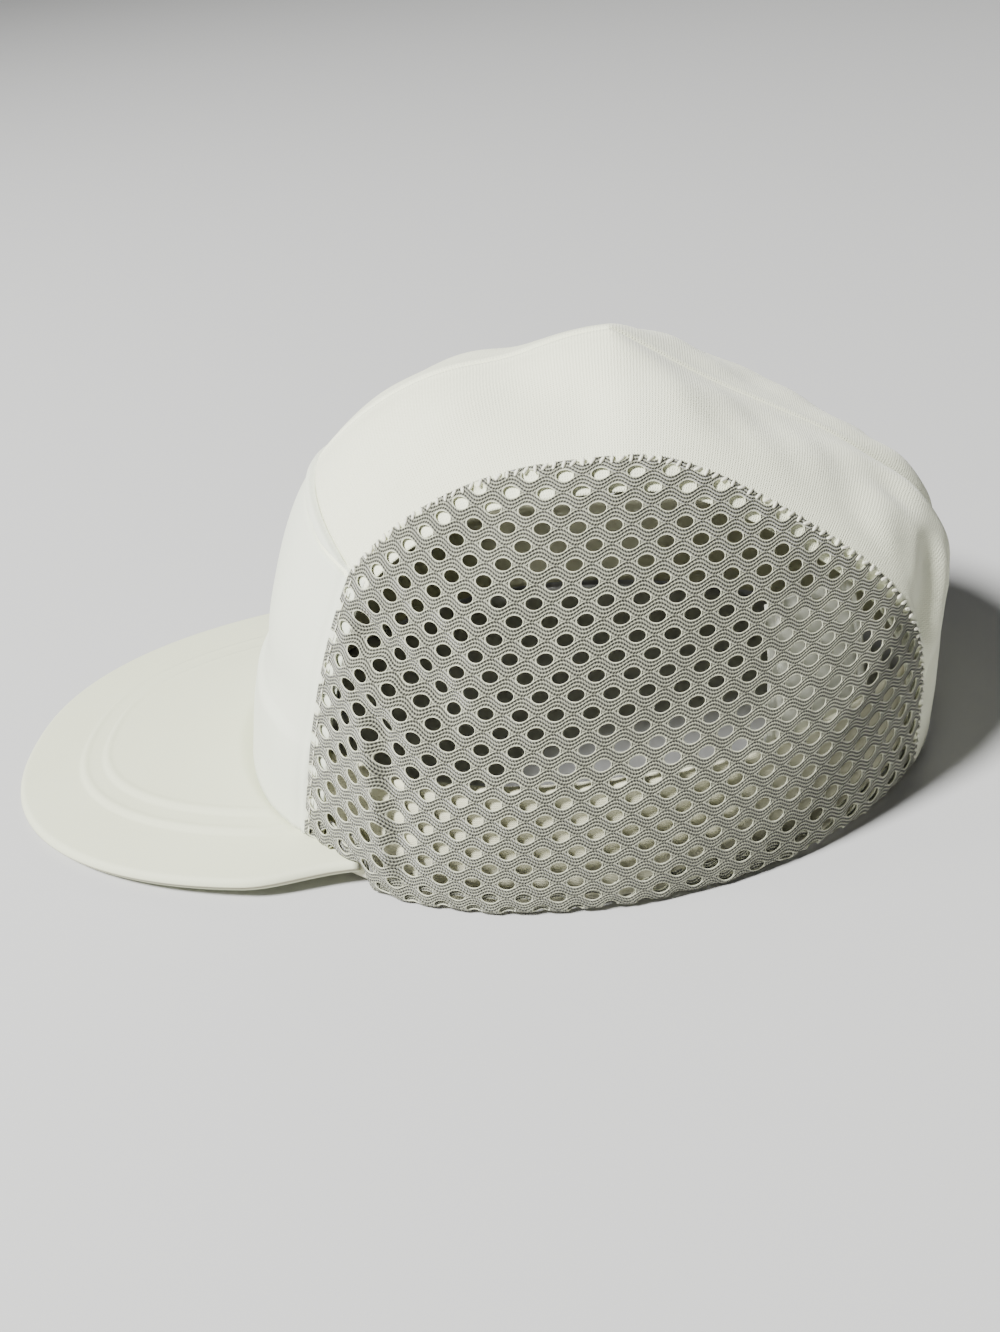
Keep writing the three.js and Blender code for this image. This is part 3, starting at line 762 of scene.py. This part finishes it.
def lay_net(sheet, outline):
    """Lays the flat net on the crown: its relief stands on the surface, and its foot turns up."""
    points = get_points(sheet)
    _, _, edge = beside_outline(points[:, :2], outline)
    round_it, up, relief = points.T
    angle, rise, below = net_to_crown(round_it, up)
    swing = np.clip((TURN_REACH + below) / (2 * TURN_REACH), 0, 1) * math.pi
    depth = TURN_RADIUS * (1 - np.cos(swing))
    at_foot = below > -6
    pull = (1 - smooth(edge, 1.0, 7.0)) * ~at_foot
    out = NET_PROUD - depth + relief * np.cos(swing) * (1 - 0.5 * pull) - 0.3 * pull
    out = out + net_slack(angle, rise) * np.where(at_foot, 1, smooth(edge, 2, 10))
    placed = crown(angle, rise, out)
    hem_wave = 0.35 * np.sin(round_it * 0.74) + 0.25 * np.sin(round_it * 0.31 + 1)
    placed[:, 2] += np.maximum(0.5 + hem_wave, 0) * (1 - smooth(np.abs(below), 0, 6))
    set_points(sheet, placed)


def net_material():
    """Knitted net: courses of small stitches run in waves between the rows of holes, with painted shade
    darkening the gaps between them almost to black, and a smooth thread rims each hole."""
    material, tree, shader = new_material("Knitted net", 0.75, 0.3, 0.3)
    flat = tree.nodes.new("ShaderNodeUVMap")
    flat.uv_map = "Weave"
    parts = tree.nodes.new("ShaderNodeSeparateXYZ")
    link(tree, flat.outputs[0], parts.inputs[0])
    along = maths(tree, "MULTIPLY", parts.outputs["X"], 2 * math.pi / HOLE_PITCH)
    wave = maths(tree, "MULTIPLY_ADD", maths(tree, "COSINE", along), COURSE_WAVE, ROW_PITCH / 2)
    below_wave = maths(tree, "SUBTRACT", wave, maths(tree, "ABSOLUTE", parts.outputs["Y"]))
    turns = maths(tree, "MULTIPLY", below_wave, 2 * math.pi / COURSE_PITCH)
    gap = maths(tree, "POWER", maths(tree, "MULTIPLY_ADD", maths(tree, "COSINE", turns), 0.5, 0.5), 0.6)
    stitch = maths(tree, "MULTIPLY_ADD", along, STITCHES_ACROSS, maths(tree, "MULTIPLY", turns, 0.5))
    stitch = maths(tree, "MULTIPLY_ADD", maths(tree, "SINE", stitch), 0.5, 0.5)
    rim = tree.nodes.new("ShaderNodeAttribute")
    rim.attribute_name = "rim"
    off_rim = maths(tree, "SUBTRACT", 1.0, maths(tree, "MULTIPLY", rim.outputs["Fac"], 1.4), clamp=True)
    # Painted shade: the gaps between the knitted courses, where shade falls between the cords, are darkened
    # here; the same pattern also sinks them in the relief.
    gap_shade = maths(tree, "MULTIPLY", gap, maths(tree, "MULTIPLY_ADD", stitch, 0.7, 0.75))
    gap_shade = maths(tree, "MULTIPLY", gap_shade, off_rim)
    height = maths(tree, "SUBTRACT", maths(tree, "MULTIPLY", rim.outputs["Fac"], 0.4), gap_shade)
    press(tree, shader, height, 0.4)
    fleck = maths(tree, "SUBTRACT", noise(tree, flat.outputs[0], 1.6, 3), 0.5)
    uneven = maths(tree, "MULTIPLY_ADD", fleck, 0.25, 0.05)
    # shade adds the painted shade of the gaps to the yarn's own uneven fleck; the near-black end colour below
    # is painted shade.
    shade = maths(tree, "ADD", gap_shade, uneven, clamp=True)
    colour = mixed_colour(tree, shade, (0.59, 0.60, 0.44), (0.02, 0.019, 0.012))
    link(tree, colour, shader.inputs["Base Color"])
    return material


outline = net_outline()
net_cloth = net_material()
net_left = net_sheet("side_net_left_knit", outline)
lay_net(net_left, outline)
give_wall(net_left, NET_WALL)
net_right = mirror_copy(net_left, "side_net_right_knit")
for net, side in ((net_left, "left"), (net_right, "right")):
    dress(net, net_cloth, "side_net", f"side_net_panel_{side}")


def sew(name, points, outwards, pitch, length, thickness, material, slant=0.0):
    """A row of stitches along a line of points: one short, plump stitch, copied along the seam.
    outwards gives the cloth's outward direction at each point. A slant, in degrees, turns each
    stitch across the line, some more and some less."""
    bpy.ops.object.select_all(action="DESELECT")
    bpy.ops.mesh.primitive_uv_sphere_add(segments=6, ring_count=4, radius=0.5)
    stitch = bpy.context.object
    stitch.name = stitch.data.name = name
    shape = get_points(stitch) * [thickness, thickness * 0.8, length]
    lengths = np.concatenate([[0], np.cumsum(np.linalg.norm(np.diff(points, axis=0), axis=1))])
    places = np.arange(pitch / 2, lengths[-1], pitch)
    middle, ahead, out = (
        np.stack([np.interp(places + step, lengths, line[:, axis]) for axis in range(3)], -1)
        for step, line in ((0, points), (0.4, points), (0, outwards)))
    run = ahead - middle
    run[-1] = run[-2]
    run /= np.linalg.norm(run, axis=1, keepdims=True)
    out = out - run * (out * run).sum(1, keepdims=True)
    out /= np.linalg.norm(out, axis=1, keepdims=True)
    side = np.cross(out, run)
    turn = np.radians(slant * (1 - 0.35 * np.sin(np.arange(len(places)) * 2.4)))[:, None]
    run, side = run * np.cos(turn) + side * np.sin(turn), side * np.cos(turn) - run * np.sin(turn)
    wide, high, long = (shape[None, :, axis:axis + 1] for axis in range(3))
    placed = middle[:, None] + wide * side[:, None] + high * out[:, None] + long * run[:, None]
    select_only(stitch)
    bpy.ops.object.modifier_add(type="ARRAY")
    stitch.modifiers[-1].count = len(places)
    bpy.ops.object.modifier_apply(modifier=stitch.modifiers[-1].name)
    set_points(stitch, placed.reshape(-1, 3))
    bpy.ops.object.shade_smooth()
    dress(stitch, material, "seam_tape")


def outward(angle, rise):
    """The crown's outward directions."""
    return crown(angle, rise, 1.0) - crown(angle, rise, 0.0)


def thread_material():
    """Spun thread, with its twist."""
    material, tree, shader = new_material("Cream thread", 0.7, 0.3)
    where = tree.nodes.new("ShaderNodeTexCoord")
    twist = tree.nodes.new("ShaderNodeTexWave")
    twist.inputs["Scale"].default_value = 420
    twist.inputs["Distortion"].default_value = 2
    link(tree, where.outputs["Object"], twist.inputs["Vector"])
    colour = mixed_colour(tree, twist.outputs["Fac"], (0.80, 0.80, 0.66), (0.70, 0.69, 0.54))
    link(tree, colour, shader.inputs["Base Color"])
    return material


thread = thread_material()
arc = net_arc(np.linspace(-1, 0.995, 300), 1.0)
foot_rise = float(rise_at(NET_FRONT_ANGLE, hem_height(NET_FRONT_ANGLE)))
edge_rise = np.linspace(foot_rise + 0.01, float(arc[1][0]), 90)
edge = np.full(edge_rise.shape, NET_FRONT_ANGLE + 0.6), edge_rise
for side, mirror in (("left", [1, 1, 1]), ("right", [-1, 1, 1])):
    sew(f"arc_stitches_{side}", crown(*arc, 0.15) * mirror, outward(*arc) * mirror,
        2.3, 2.5, 1.0, thread, 62.0)
for side, mirror in (("left", [1, 1, 1]), ("right", [-1, 1, 1])):
    sew(f"front_edge_stitches_{side}", crown(*edge, 0.28) * mirror, outward(*edge) * mirror,
        2.9, 2.3, 0.5, thread)
fell_angle = np.linspace(-27, 27, 160)
fell = fell_angle, front_seam(fell_angle) - (FELL_WIDTH + 0.2) / SLOPE_LENGTH
sew("front_fell_stitches", crown(*fell, -0.12), outward(*fell), 2.6, 2.0, 0.4, thread)


# ---------------------------------------------------------------------------------------------
# SEAM TAPES
# Woven cotton tape, ten millimetres wide, sewn over the raw edges inside: across the front seam,
# along the centre seam and round each net panel.
# ---------------------------------------------------------------------------------------------
TAPE_OUT = -1.85
TAPE_WALL = 0.4
TAPE_WIDTH = 10.0
PEAK_RISE = 0.95  # the tape bridges the peak above this
PEAK_SHARE = 0.46  # of the centre tape lies before the bridge, and as much after it


def tape_lay(length):
    return lambda u, v, points: (u * length, v * TAPE_WIDTH)


def front_tape_place(u, v):
    angle = (2 * u - 1) * (NET_FRONT_ANGLE - 4)
    rise = front_seam(angle) + (v - 0.5) * TAPE_WIDTH / (1.35 * CROWN_HEIGHT)
    return crown(angle, rise, TAPE_OUT - 0.1 * np.sin(angle * 0.9))


def side_tape_place(u, v):
    angle, rise = net_arc(-0.97 + 1.965 * u, (2 * v - 1) * TAPE_WIDTH)
    return crown(angle, rise, TAPE_OUT - 0.1 * np.sin(u * 60))


def centre_tape_place(u, v):
    """From the front seam's tape up to the peak, across it and down to the elastic."""
    across = (v - 0.5) * TAPE_WIDTH
    start, end = FRONT_SEAM_RISE + 0.037, rise_at(180.0, back_lift(180.0) + 24.0)
    at_back = u > 0.5
    climbed = np.where(at_back, 1 - u, u) / PEAK_SHARE
    foot = np.where(at_back, end, start)
    rise = np.clip(foot + (PEAK_RISE - foot) * climbed, 0, PEAK_RISE)
    turn = np.degrees(np.arcsin(across / on_meridian(SIDE_MERIDIAN, rise)[..., 0]))
    angle = np.where(at_back, 180 - turn, turn)
    points = surface(angle, rise)
    placed = crown(angle, rise, TAPE_OUT + back_valley(points) + peak_hollow(points))
    at_peak = np.full(u.shape, PEAK_RISE)
    peak_turn = np.degrees(np.arcsin(across / on_meridian(SIDE_MERIDIAN, at_peak)[..., 0]))
    front_end = crown(peak_turn, at_peak, TAPE_OUT)
    back_end = front_end * [1, 0, 0] + crown(np.full(u.shape, 180.0), at_peak, TAPE_OUT) * [0, 1, 1]
    share = np.clip((u - PEAK_SHARE) / (1 - 2 * PEAK_SHARE), 0, 1)[..., None]
    bridge = front_end * (1 - share) + back_end * share
    bridge[..., 2] += 0.9 * np.sin(share[..., 0] * math.pi)
    near_peak = np.abs(u - 0.5) < 0.5 - PEAK_SHARE
    return np.where(near_peak[..., None], bridge, placed)


tape_cloth = cloth_material(
    "Woven tape", (0.72, 0.71, 0.52), (0.65, 0.64, 0.45), 1.6, 2.2, 0.2, 0.06, 0.88, 0.2, 0.4)
front_tape = cloth("front_seam_tape_cloth", 90, 8, front_tape_place, tape_lay(90), TAPE_WALL)
dress(front_tape, tape_cloth, "seam_tape", "front_seam_tape")
centre_tape = cloth("centre_seam_tape_cloth", 8, 150, lambda u, v: centre_tape_place(v, u),
                    lambda u, v, points: (v * 220, u * TAPE_WIDTH), TAPE_WALL)
dress(centre_tape, tape_cloth, "seam_tape", "centre_seam_tape")
side_tape = cloth("side_seam_tape_left_cloth", 160, 8, side_tape_place, tape_lay(250), TAPE_WALL)
side_tape_right = mirror_copy(side_tape, "side_seam_tape_right_cloth")
for tape, side in ((side_tape, "left"), (side_tape_right, "right")):
    dress(tape, tape_cloth, "seam_tape", f"side_seam_tape_{side}")


# ---------------------------------------------------------------------------------------------
# SWEATBAND, ITS CORE AND THE BACK ELASTIC
# A strip of brushed cotton folded double with its fold on top, round a bonded core. It is sewn to
# the hem all the way round. At the back a length of ribbed elastic lies between it and the crown.
# ---------------------------------------------------------------------------------------------
BAND_OUT = -2.4
BAND_THICK = 2.1
BAND_FOOT = 1.6
BAND_HEIGHT = 33.0
BAND_ROWS = (28.5, 3.5)  # the heights of its two rows of stitches
ELASTIC_HEIGHT = 20.0
ELASTIC_ANGLE = 157.0


def band_place(u, v):
    """All the way round, and up the outer face, over the fold and down the inner face."""
    angle = u * 360 - 180
    radius = BAND_THICK / 2
    straight = BAND_HEIGHT - radius
    way = v * (2 * straight + math.pi * radius)
    turn = np.clip((way - straight) / radius, 0, math.pi)
    folded = straight + radius * np.sin(turn)
    down = 2 * straight + math.pi * radius - way
    height = np.where(way < straight, way, np.where(turn < math.pi, folded, down))
    depth = radius * (1 - np.cos(turn))
    base = back_lift(angle) + BAND_FOOT
    inner = depth > radius
    puff = np.sin(np.clip(height / BAND_HEIGHT, 0, 1) * math.pi) * 0.35
    groove = -0.3 * sum(fall(height - row, 0.6) for row in BAND_ROWS)
    ripple = np.sin(np.radians(angle) * 23 + height * 0.08)
    soft = 0.25 * ripple * smooth(height, 2, 12) * (1 - smooth(height, 20, 31))
    beside = smooth(np.abs(angle), 54, 62) * (1 - smooth(np.abs(angle), 114, 122)) * smooth(height, 7, 13)
    out = BAND_OUT - depth + np.where(inner, -(puff + groove) - soft, 0.3 * soft + 1.35 * beside)
    return crown(angle, rise_at(angle, base + height), out)


band_cloth = cloth_material(
    "Brushed band cloth", (0.70, 0.69, 0.50), (0.64, 0.62, 0.43), 2.0, 2.0, 0.4, 0.05, 0.92, 0.4, 0.4)
band = cloth("sweatband_cloth", 360, 44, band_place, lambda u, v, points: (u * 560, v * 66), 0.45)
dress(band, band_cloth, "sweatband_cloth", "sweatband")
band_angle = np.linspace(-179, 179, 500)
for name, height in zip(("sweatband_upper_stitches", "sweatband_lower_stitches"), BAND_ROWS):
    row = band_angle, rise_at(band_angle, back_lift(band_angle) + BAND_FOOT + height)
    sew(name, crown(*row, BAND_OUT - BAND_THICK + 0.02), -outward(*row), 3.2, 2.4, 0.42, thread)


def grained_material(name, colour, shade, scale, detail, relief, roughness):
    """A hidden stiffener's even, fine-grained surface: bonded fibres or moulded sheet."""
    material, tree, shader = new_material(name, roughness)
    where = tree.nodes.new("ShaderNodeTexCoord")
    grain = noise(tree, where.outputs["Object"], scale, detail)
    link(tree, mixed_colour(tree, grain, colour, shade), shader.inputs["Base Color"])
    press(tree, shader, grain, relief)
    return material


finish_in(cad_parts["sweatband_core"], grained_material(
    "Bonded core", (0.88, 0.88, 0.86), (0.74, 0.74, 0.71), 900, 4, 0.1, 0.95))


def elastic_place(u, v):
    """Across the back, inside the hem, drawn in by its own gathers."""
    angle = ELASTIC_ANGLE + (360 - 2 * ELASTIC_ANGLE) * u
    height = back_lift(angle) + BAND_FOOT + ELASTIC_HEIGHT * v
    gathers = 0.08 * np.sin(u * 2 * math.pi * 26)
    return crown(angle, rise_at(angle, height), TAPE_OUT + gathers)


elastic_cloth = cloth_material(
    "Ribbed elastic", (0.86, 0.86, 0.82), (0.78, 0.78, 0.73), 0.6, 1.0, 0.05, 0.25, 0.8, 0.2, 0.2)
elastic = cloth("back_elastic_webbing", 156, 16, elastic_place,
                lambda u, v, points: (u * 70, v * ELASTIC_HEIGHT), TAPE_WALL)
dress(elastic, elastic_cloth, "elastic", "back_elastic")


# ---------------------------------------------------------------------------------------------
# CARE LABEL
# A plain cream satin label, blank, sewn to the sweatband's inner face at the left of the back.
# Its edges are turned and stitched, and its upper half stands free of the band.
# ---------------------------------------------------------------------------------------------
LABEL_OUT = -5.0
LABEL_FROM, LABEL_TO = 121.0, 140.0
LABEL_BOTTOM, LABEL_TOP = 22.0, 67.0


def label_point(u, v, out=0.0):
    """From the front edge to the back edge, and from the foot to the free top."""
    angle = LABEL_FROM + (LABEL_TO - LABEL_FROM) * u
    curl = 0.7 * np.sin(u * 5.0 + 0.6) * smooth(v, 0.3, 1.0)
    groove = -0.35 * fall((np.abs(2 * u - 1) - 0.82) * 14, 0.5)
    height = LABEL_BOTTOM + (LABEL_TOP - LABEL_BOTTOM) * v
    return crown(angle, rise_at(angle, height), LABEL_OUT + curl + groove + out)


label_cloth = cloth_material(
    "Cream satin label", (0.78, 0.79, 0.68), (0.73, 0.74, 0.62), 3.0, 5.0, 0.1, 0.02, 0.45, 0.1, 0.15)
label = cloth("care_label_satin", 60, 80, label_point, lambda u, v, points: (u * 33, v * 47), 0.25)
dress(label, label_cloth, "label_cloth", "care_label")
run = np.linspace(0.09, 0.91, 60)
for name, u, v in (("label_front_stitches", np.full(60, 0.09), run),
                   ("label_back_stitches", np.full(60, 0.91), run),
                   ("label_top_stitches", run, np.full(60, 0.94))):
    for face, out in (("outer", 0.02), ("inner", -0.27)):
        line = label_point(u, v, out)
        sew(f"{name}_{face}", line, label_point(u, v, out + 1) - line, 2.4, 1.8, 0.3, thread)


# ---------------------------------------------------------------------------------------------
# VISOR
# A flat moulded board between two covers of smooth ivory cloth, joined in a thin seam round the
# rim. The top cover is pressed over two low steps that follow the outline.
# ---------------------------------------------------------------------------------------------
VISOR_END = 4.0
VISOR_TUCK = 5.0
VISOR_FULLNESS = 0.88
RIM_RADIUS = 1.5
COVER_JOINT_DEPTH = 1.2
STEPS = (17.5, 24.5)  # how far inside the rim each step starts
STEP_HEIGHT, STEP_WIDTH, STEP_LIP = 0.8, 1.8, 0.32
RIM_SHARE = 0.06


def visor_plan(place, share, inset):
    """The visor from above: place runs round it from -1 to 1, share from the crown to the rim."""
    angle = place * VISOR_ANGLE
    joint = crown(angle, rise_at(angle, np.full(angle.shape, VISOR_BACK_HEIGHT)), -COVER_JOINT_DEPTH)
    turn = place * math.pi / 2
    end_y = float(surface(VISOR_ANGLE, 0.0)[1]) + VISOR_END
    reach = end_y + FRONT_REACH + VISOR_LENGTH - inset
    side = np.sign(turn) * np.abs(np.sin(turn)) ** VISOR_FULLNESS
    tuck = VISOR_TUCK * smooth(np.abs(place), 0.85, 1)
    edge = np.stack([(VISOR_HALF_WIDTH - tuck - inset) * side,
                     end_y - reach * np.abs(np.cos(turn)) ** VISOR_FULLNESS, np.zeros(place.shape)], -1)
    return joint * (1 - share[..., None]) + edge * share[..., None]


def inside_rim(points):
    """How far points of the visor's plan lie inside its outline."""
    rim = visor_plan(np.linspace(-1, 1, 241), np.ones(241), 0.0)[:, :2]
    best = np.full(points.shape[:-1], 1e9)
    for a, b in zip(rim[:-1], rim[1:]):
        best = np.minimum(best, nearest_on(a, b, points[..., :2])[1])
    return best


def visor_cover_place(side):
    """A cover's place: side is 1 on top and -1 underneath. It rolls over the rim to the seam."""
    def place(u, v):
        along = 2 * u - 1
        along = np.sign(along) * (1 - (1 - np.abs(along)) ** 1.15)
        roll = np.clip((v - 1 + RIM_SHARE) / RIM_SHARE, 0, 1) * math.pi / 2
        share = np.clip(v / (1 - RIM_SHARE), 0, 1)
        inset = RIM_RADIUS * (1 - np.sin(roll))
        points = visor_plan(along, share, inset)
        within = inside_rim(points)
        rise = VISOR_COVER_TOP * np.cos(roll) + 0.12
        if side > 0:
            far_fade = 0.35 + 0.65 * smooth(points[..., 0], -60, 10)
            steps = sum(STEP_HEIGHT * smooth(within, step, step + STEP_WIDTH)
                        + STEP_LIP * fall(within - step - STEP_WIDTH, 0.9) for step in STEPS)
            rise = rise + steps * far_fade * smooth(share, 0.02, 0.1)
        points[..., 2] = visor_height(points[..., 0], points[..., 1]) + side * rise
        return points
    return place


visor_cloth = cloth_material(
    "Visor cloth", (0.68, 0.705, 0.51), (0.64, 0.66, 0.46), 2.6, 2.6, 0.2, 0.02, 0.62, 0.15, 0.2)
visor_tree = visor_cloth.node_tree
rim_mask = visor_tree.nodes.new("ShaderNodeAttribute")
rim_mask.attribute_name = "rim"
base = visor_tree.nodes["Principled BSDF"].inputs["Base Color"]
clean = base.links[0].from_socket
link(visor_tree, mixed_colour(visor_tree, rim_mask.outputs["Fac"], clean, (0.44, 0.38, 0.28)), base)


def mark_rim(piece):
    """Marks the seam round the rim, where the covers meet and the cloth is soiled."""
    mask = piece.data.attributes.new("rim", "FLOAT", "POINT")
    points = get_points(piece) * 1000 - [0, HEM_MIDDLE_Y, 0]
    off_middle = np.abs(points[:, 2] - visor_height(points[:, 0], points[:, 1]))
    near = (inside_rim(points) < 0.5) & (points[:, 1] < -FRONT_REACH * 0.4)
    mask.data.foreach_set("value", (0.75 * near * (1 - smooth(off_middle, 0.15, 0.6))).astype(np.float32))


for side, rows, node in ((1, 130, "visor_top_cover"), (-1, 60, "visor_under_cover")):
    cover = cloth(f"{node}_cloth", 200, rows, visor_cover_place(side),
                  lambda u, v, points: (points[:, 0], points[:, 1]), 0.45)
    mark_rim(cover)
    dress(cover, visor_cloth, "visor_cloth", node)

finish_in(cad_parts["visor_board"], grained_material(
    "Board plastic", (0.84, 0.84, 0.82), (0.78, 0.78, 0.76), 600, 2, 0.03, 0.5))


# ---------------------------------------------------------------------------------------------
# STUDIO
# A plain pale floor, soft lights and the camera.
# ---------------------------------------------------------------------------------------------
bpy.ops.object.select_all(action="DESELECT")
bpy.ops.mesh.primitive_plane_add(size=6, location=(0, 0, -0.0006))
floor = bpy.context.object
floor.name = "floor"
floor_paint, _, floor_shader = new_material("Pale floor", 0.9)
floor_shader.inputs["Base Color"].default_value = (0.50, 0.50, 0.49, 1)
finish_in(floor, floor_paint)


def soft_light(name, place, size, power):
    """A round, soft lamp aimed at the middle of the cap. Places and sizes are in metres."""
    lamp = bpy.data.lights.new(name, "AREA")
    lamp.shape = "DISK"
    lamp.size = size
    lamp.energy = power
    holder = bpy.data.objects.new(name, lamp)
    bpy.context.scene.collection.objects.link(holder)
    holder.location = place
    holder.rotation_euler = (Vector((0, 0, 0.05)) - Vector(place)).to_track_quat("-Z", "Y").to_euler()


soft_light("key light", (1.0, -1.4, 2.25), 0.6, 250)
soft_light("front light", (0.3, -2.5, 1.3), 0.8, 20)
soft_light("fill light", (2.2, -0.6, 1.0), 1.2, 4)
soft_light("back light", (-1.8, 0.8, 1.9), 1.0, 5)
world = bpy.data.worlds.new("Soft room")
world.use_nodes = True
glow = world.node_tree.nodes["Background"]
glow.inputs["Color"].default_value = (0.95, 0.97, 1.0, 1)
glow.inputs["Strength"].default_value = 0.08
bpy.context.scene.world = world

AZIMUTH, ELEVATION, ROLL = math.radians(97.06), math.radians(31.07), math.radians(-7.76)
CAMERA_DISTANCE, CAMERA_SIDE, CAMERA_UP = 0.43536, -0.02711, 0.01494
back = Vector((math.sin(AZIMUTH) * math.cos(ELEVATION), -math.cos(AZIMUTH) * math.cos(ELEVATION),
               math.sin(ELEVATION)))
level_right = Vector((math.cos(AZIMUTH), math.sin(AZIMUTH), 0))
level_up = back.cross(level_right)
right = level_right * math.cos(ROLL) + level_up * math.sin(ROLL)
up = level_up * math.cos(ROLL) - level_right * math.sin(ROLL)
lens = bpy.data.cameras.new("camera")
lens.sensor_fit = "VERTICAL"
lens.sensor_height = 36
lens.lens = 39.64
lens.clip_start = 0.01
camera = bpy.data.objects.new("camera", lens)
bpy.context.scene.collection.objects.link(camera)
aim = Vector((0, HEM_MIDDLE_Y * 0.001, 0)) + right * CAMERA_SIDE + up * CAMERA_UP
turn = Matrix((right, up, back)).transposed().to_4x4()
camera.matrix_world = Matrix.Translation(aim + back * CAMERA_DISTANCE) @ turn
bpy.context.scene.camera = camera
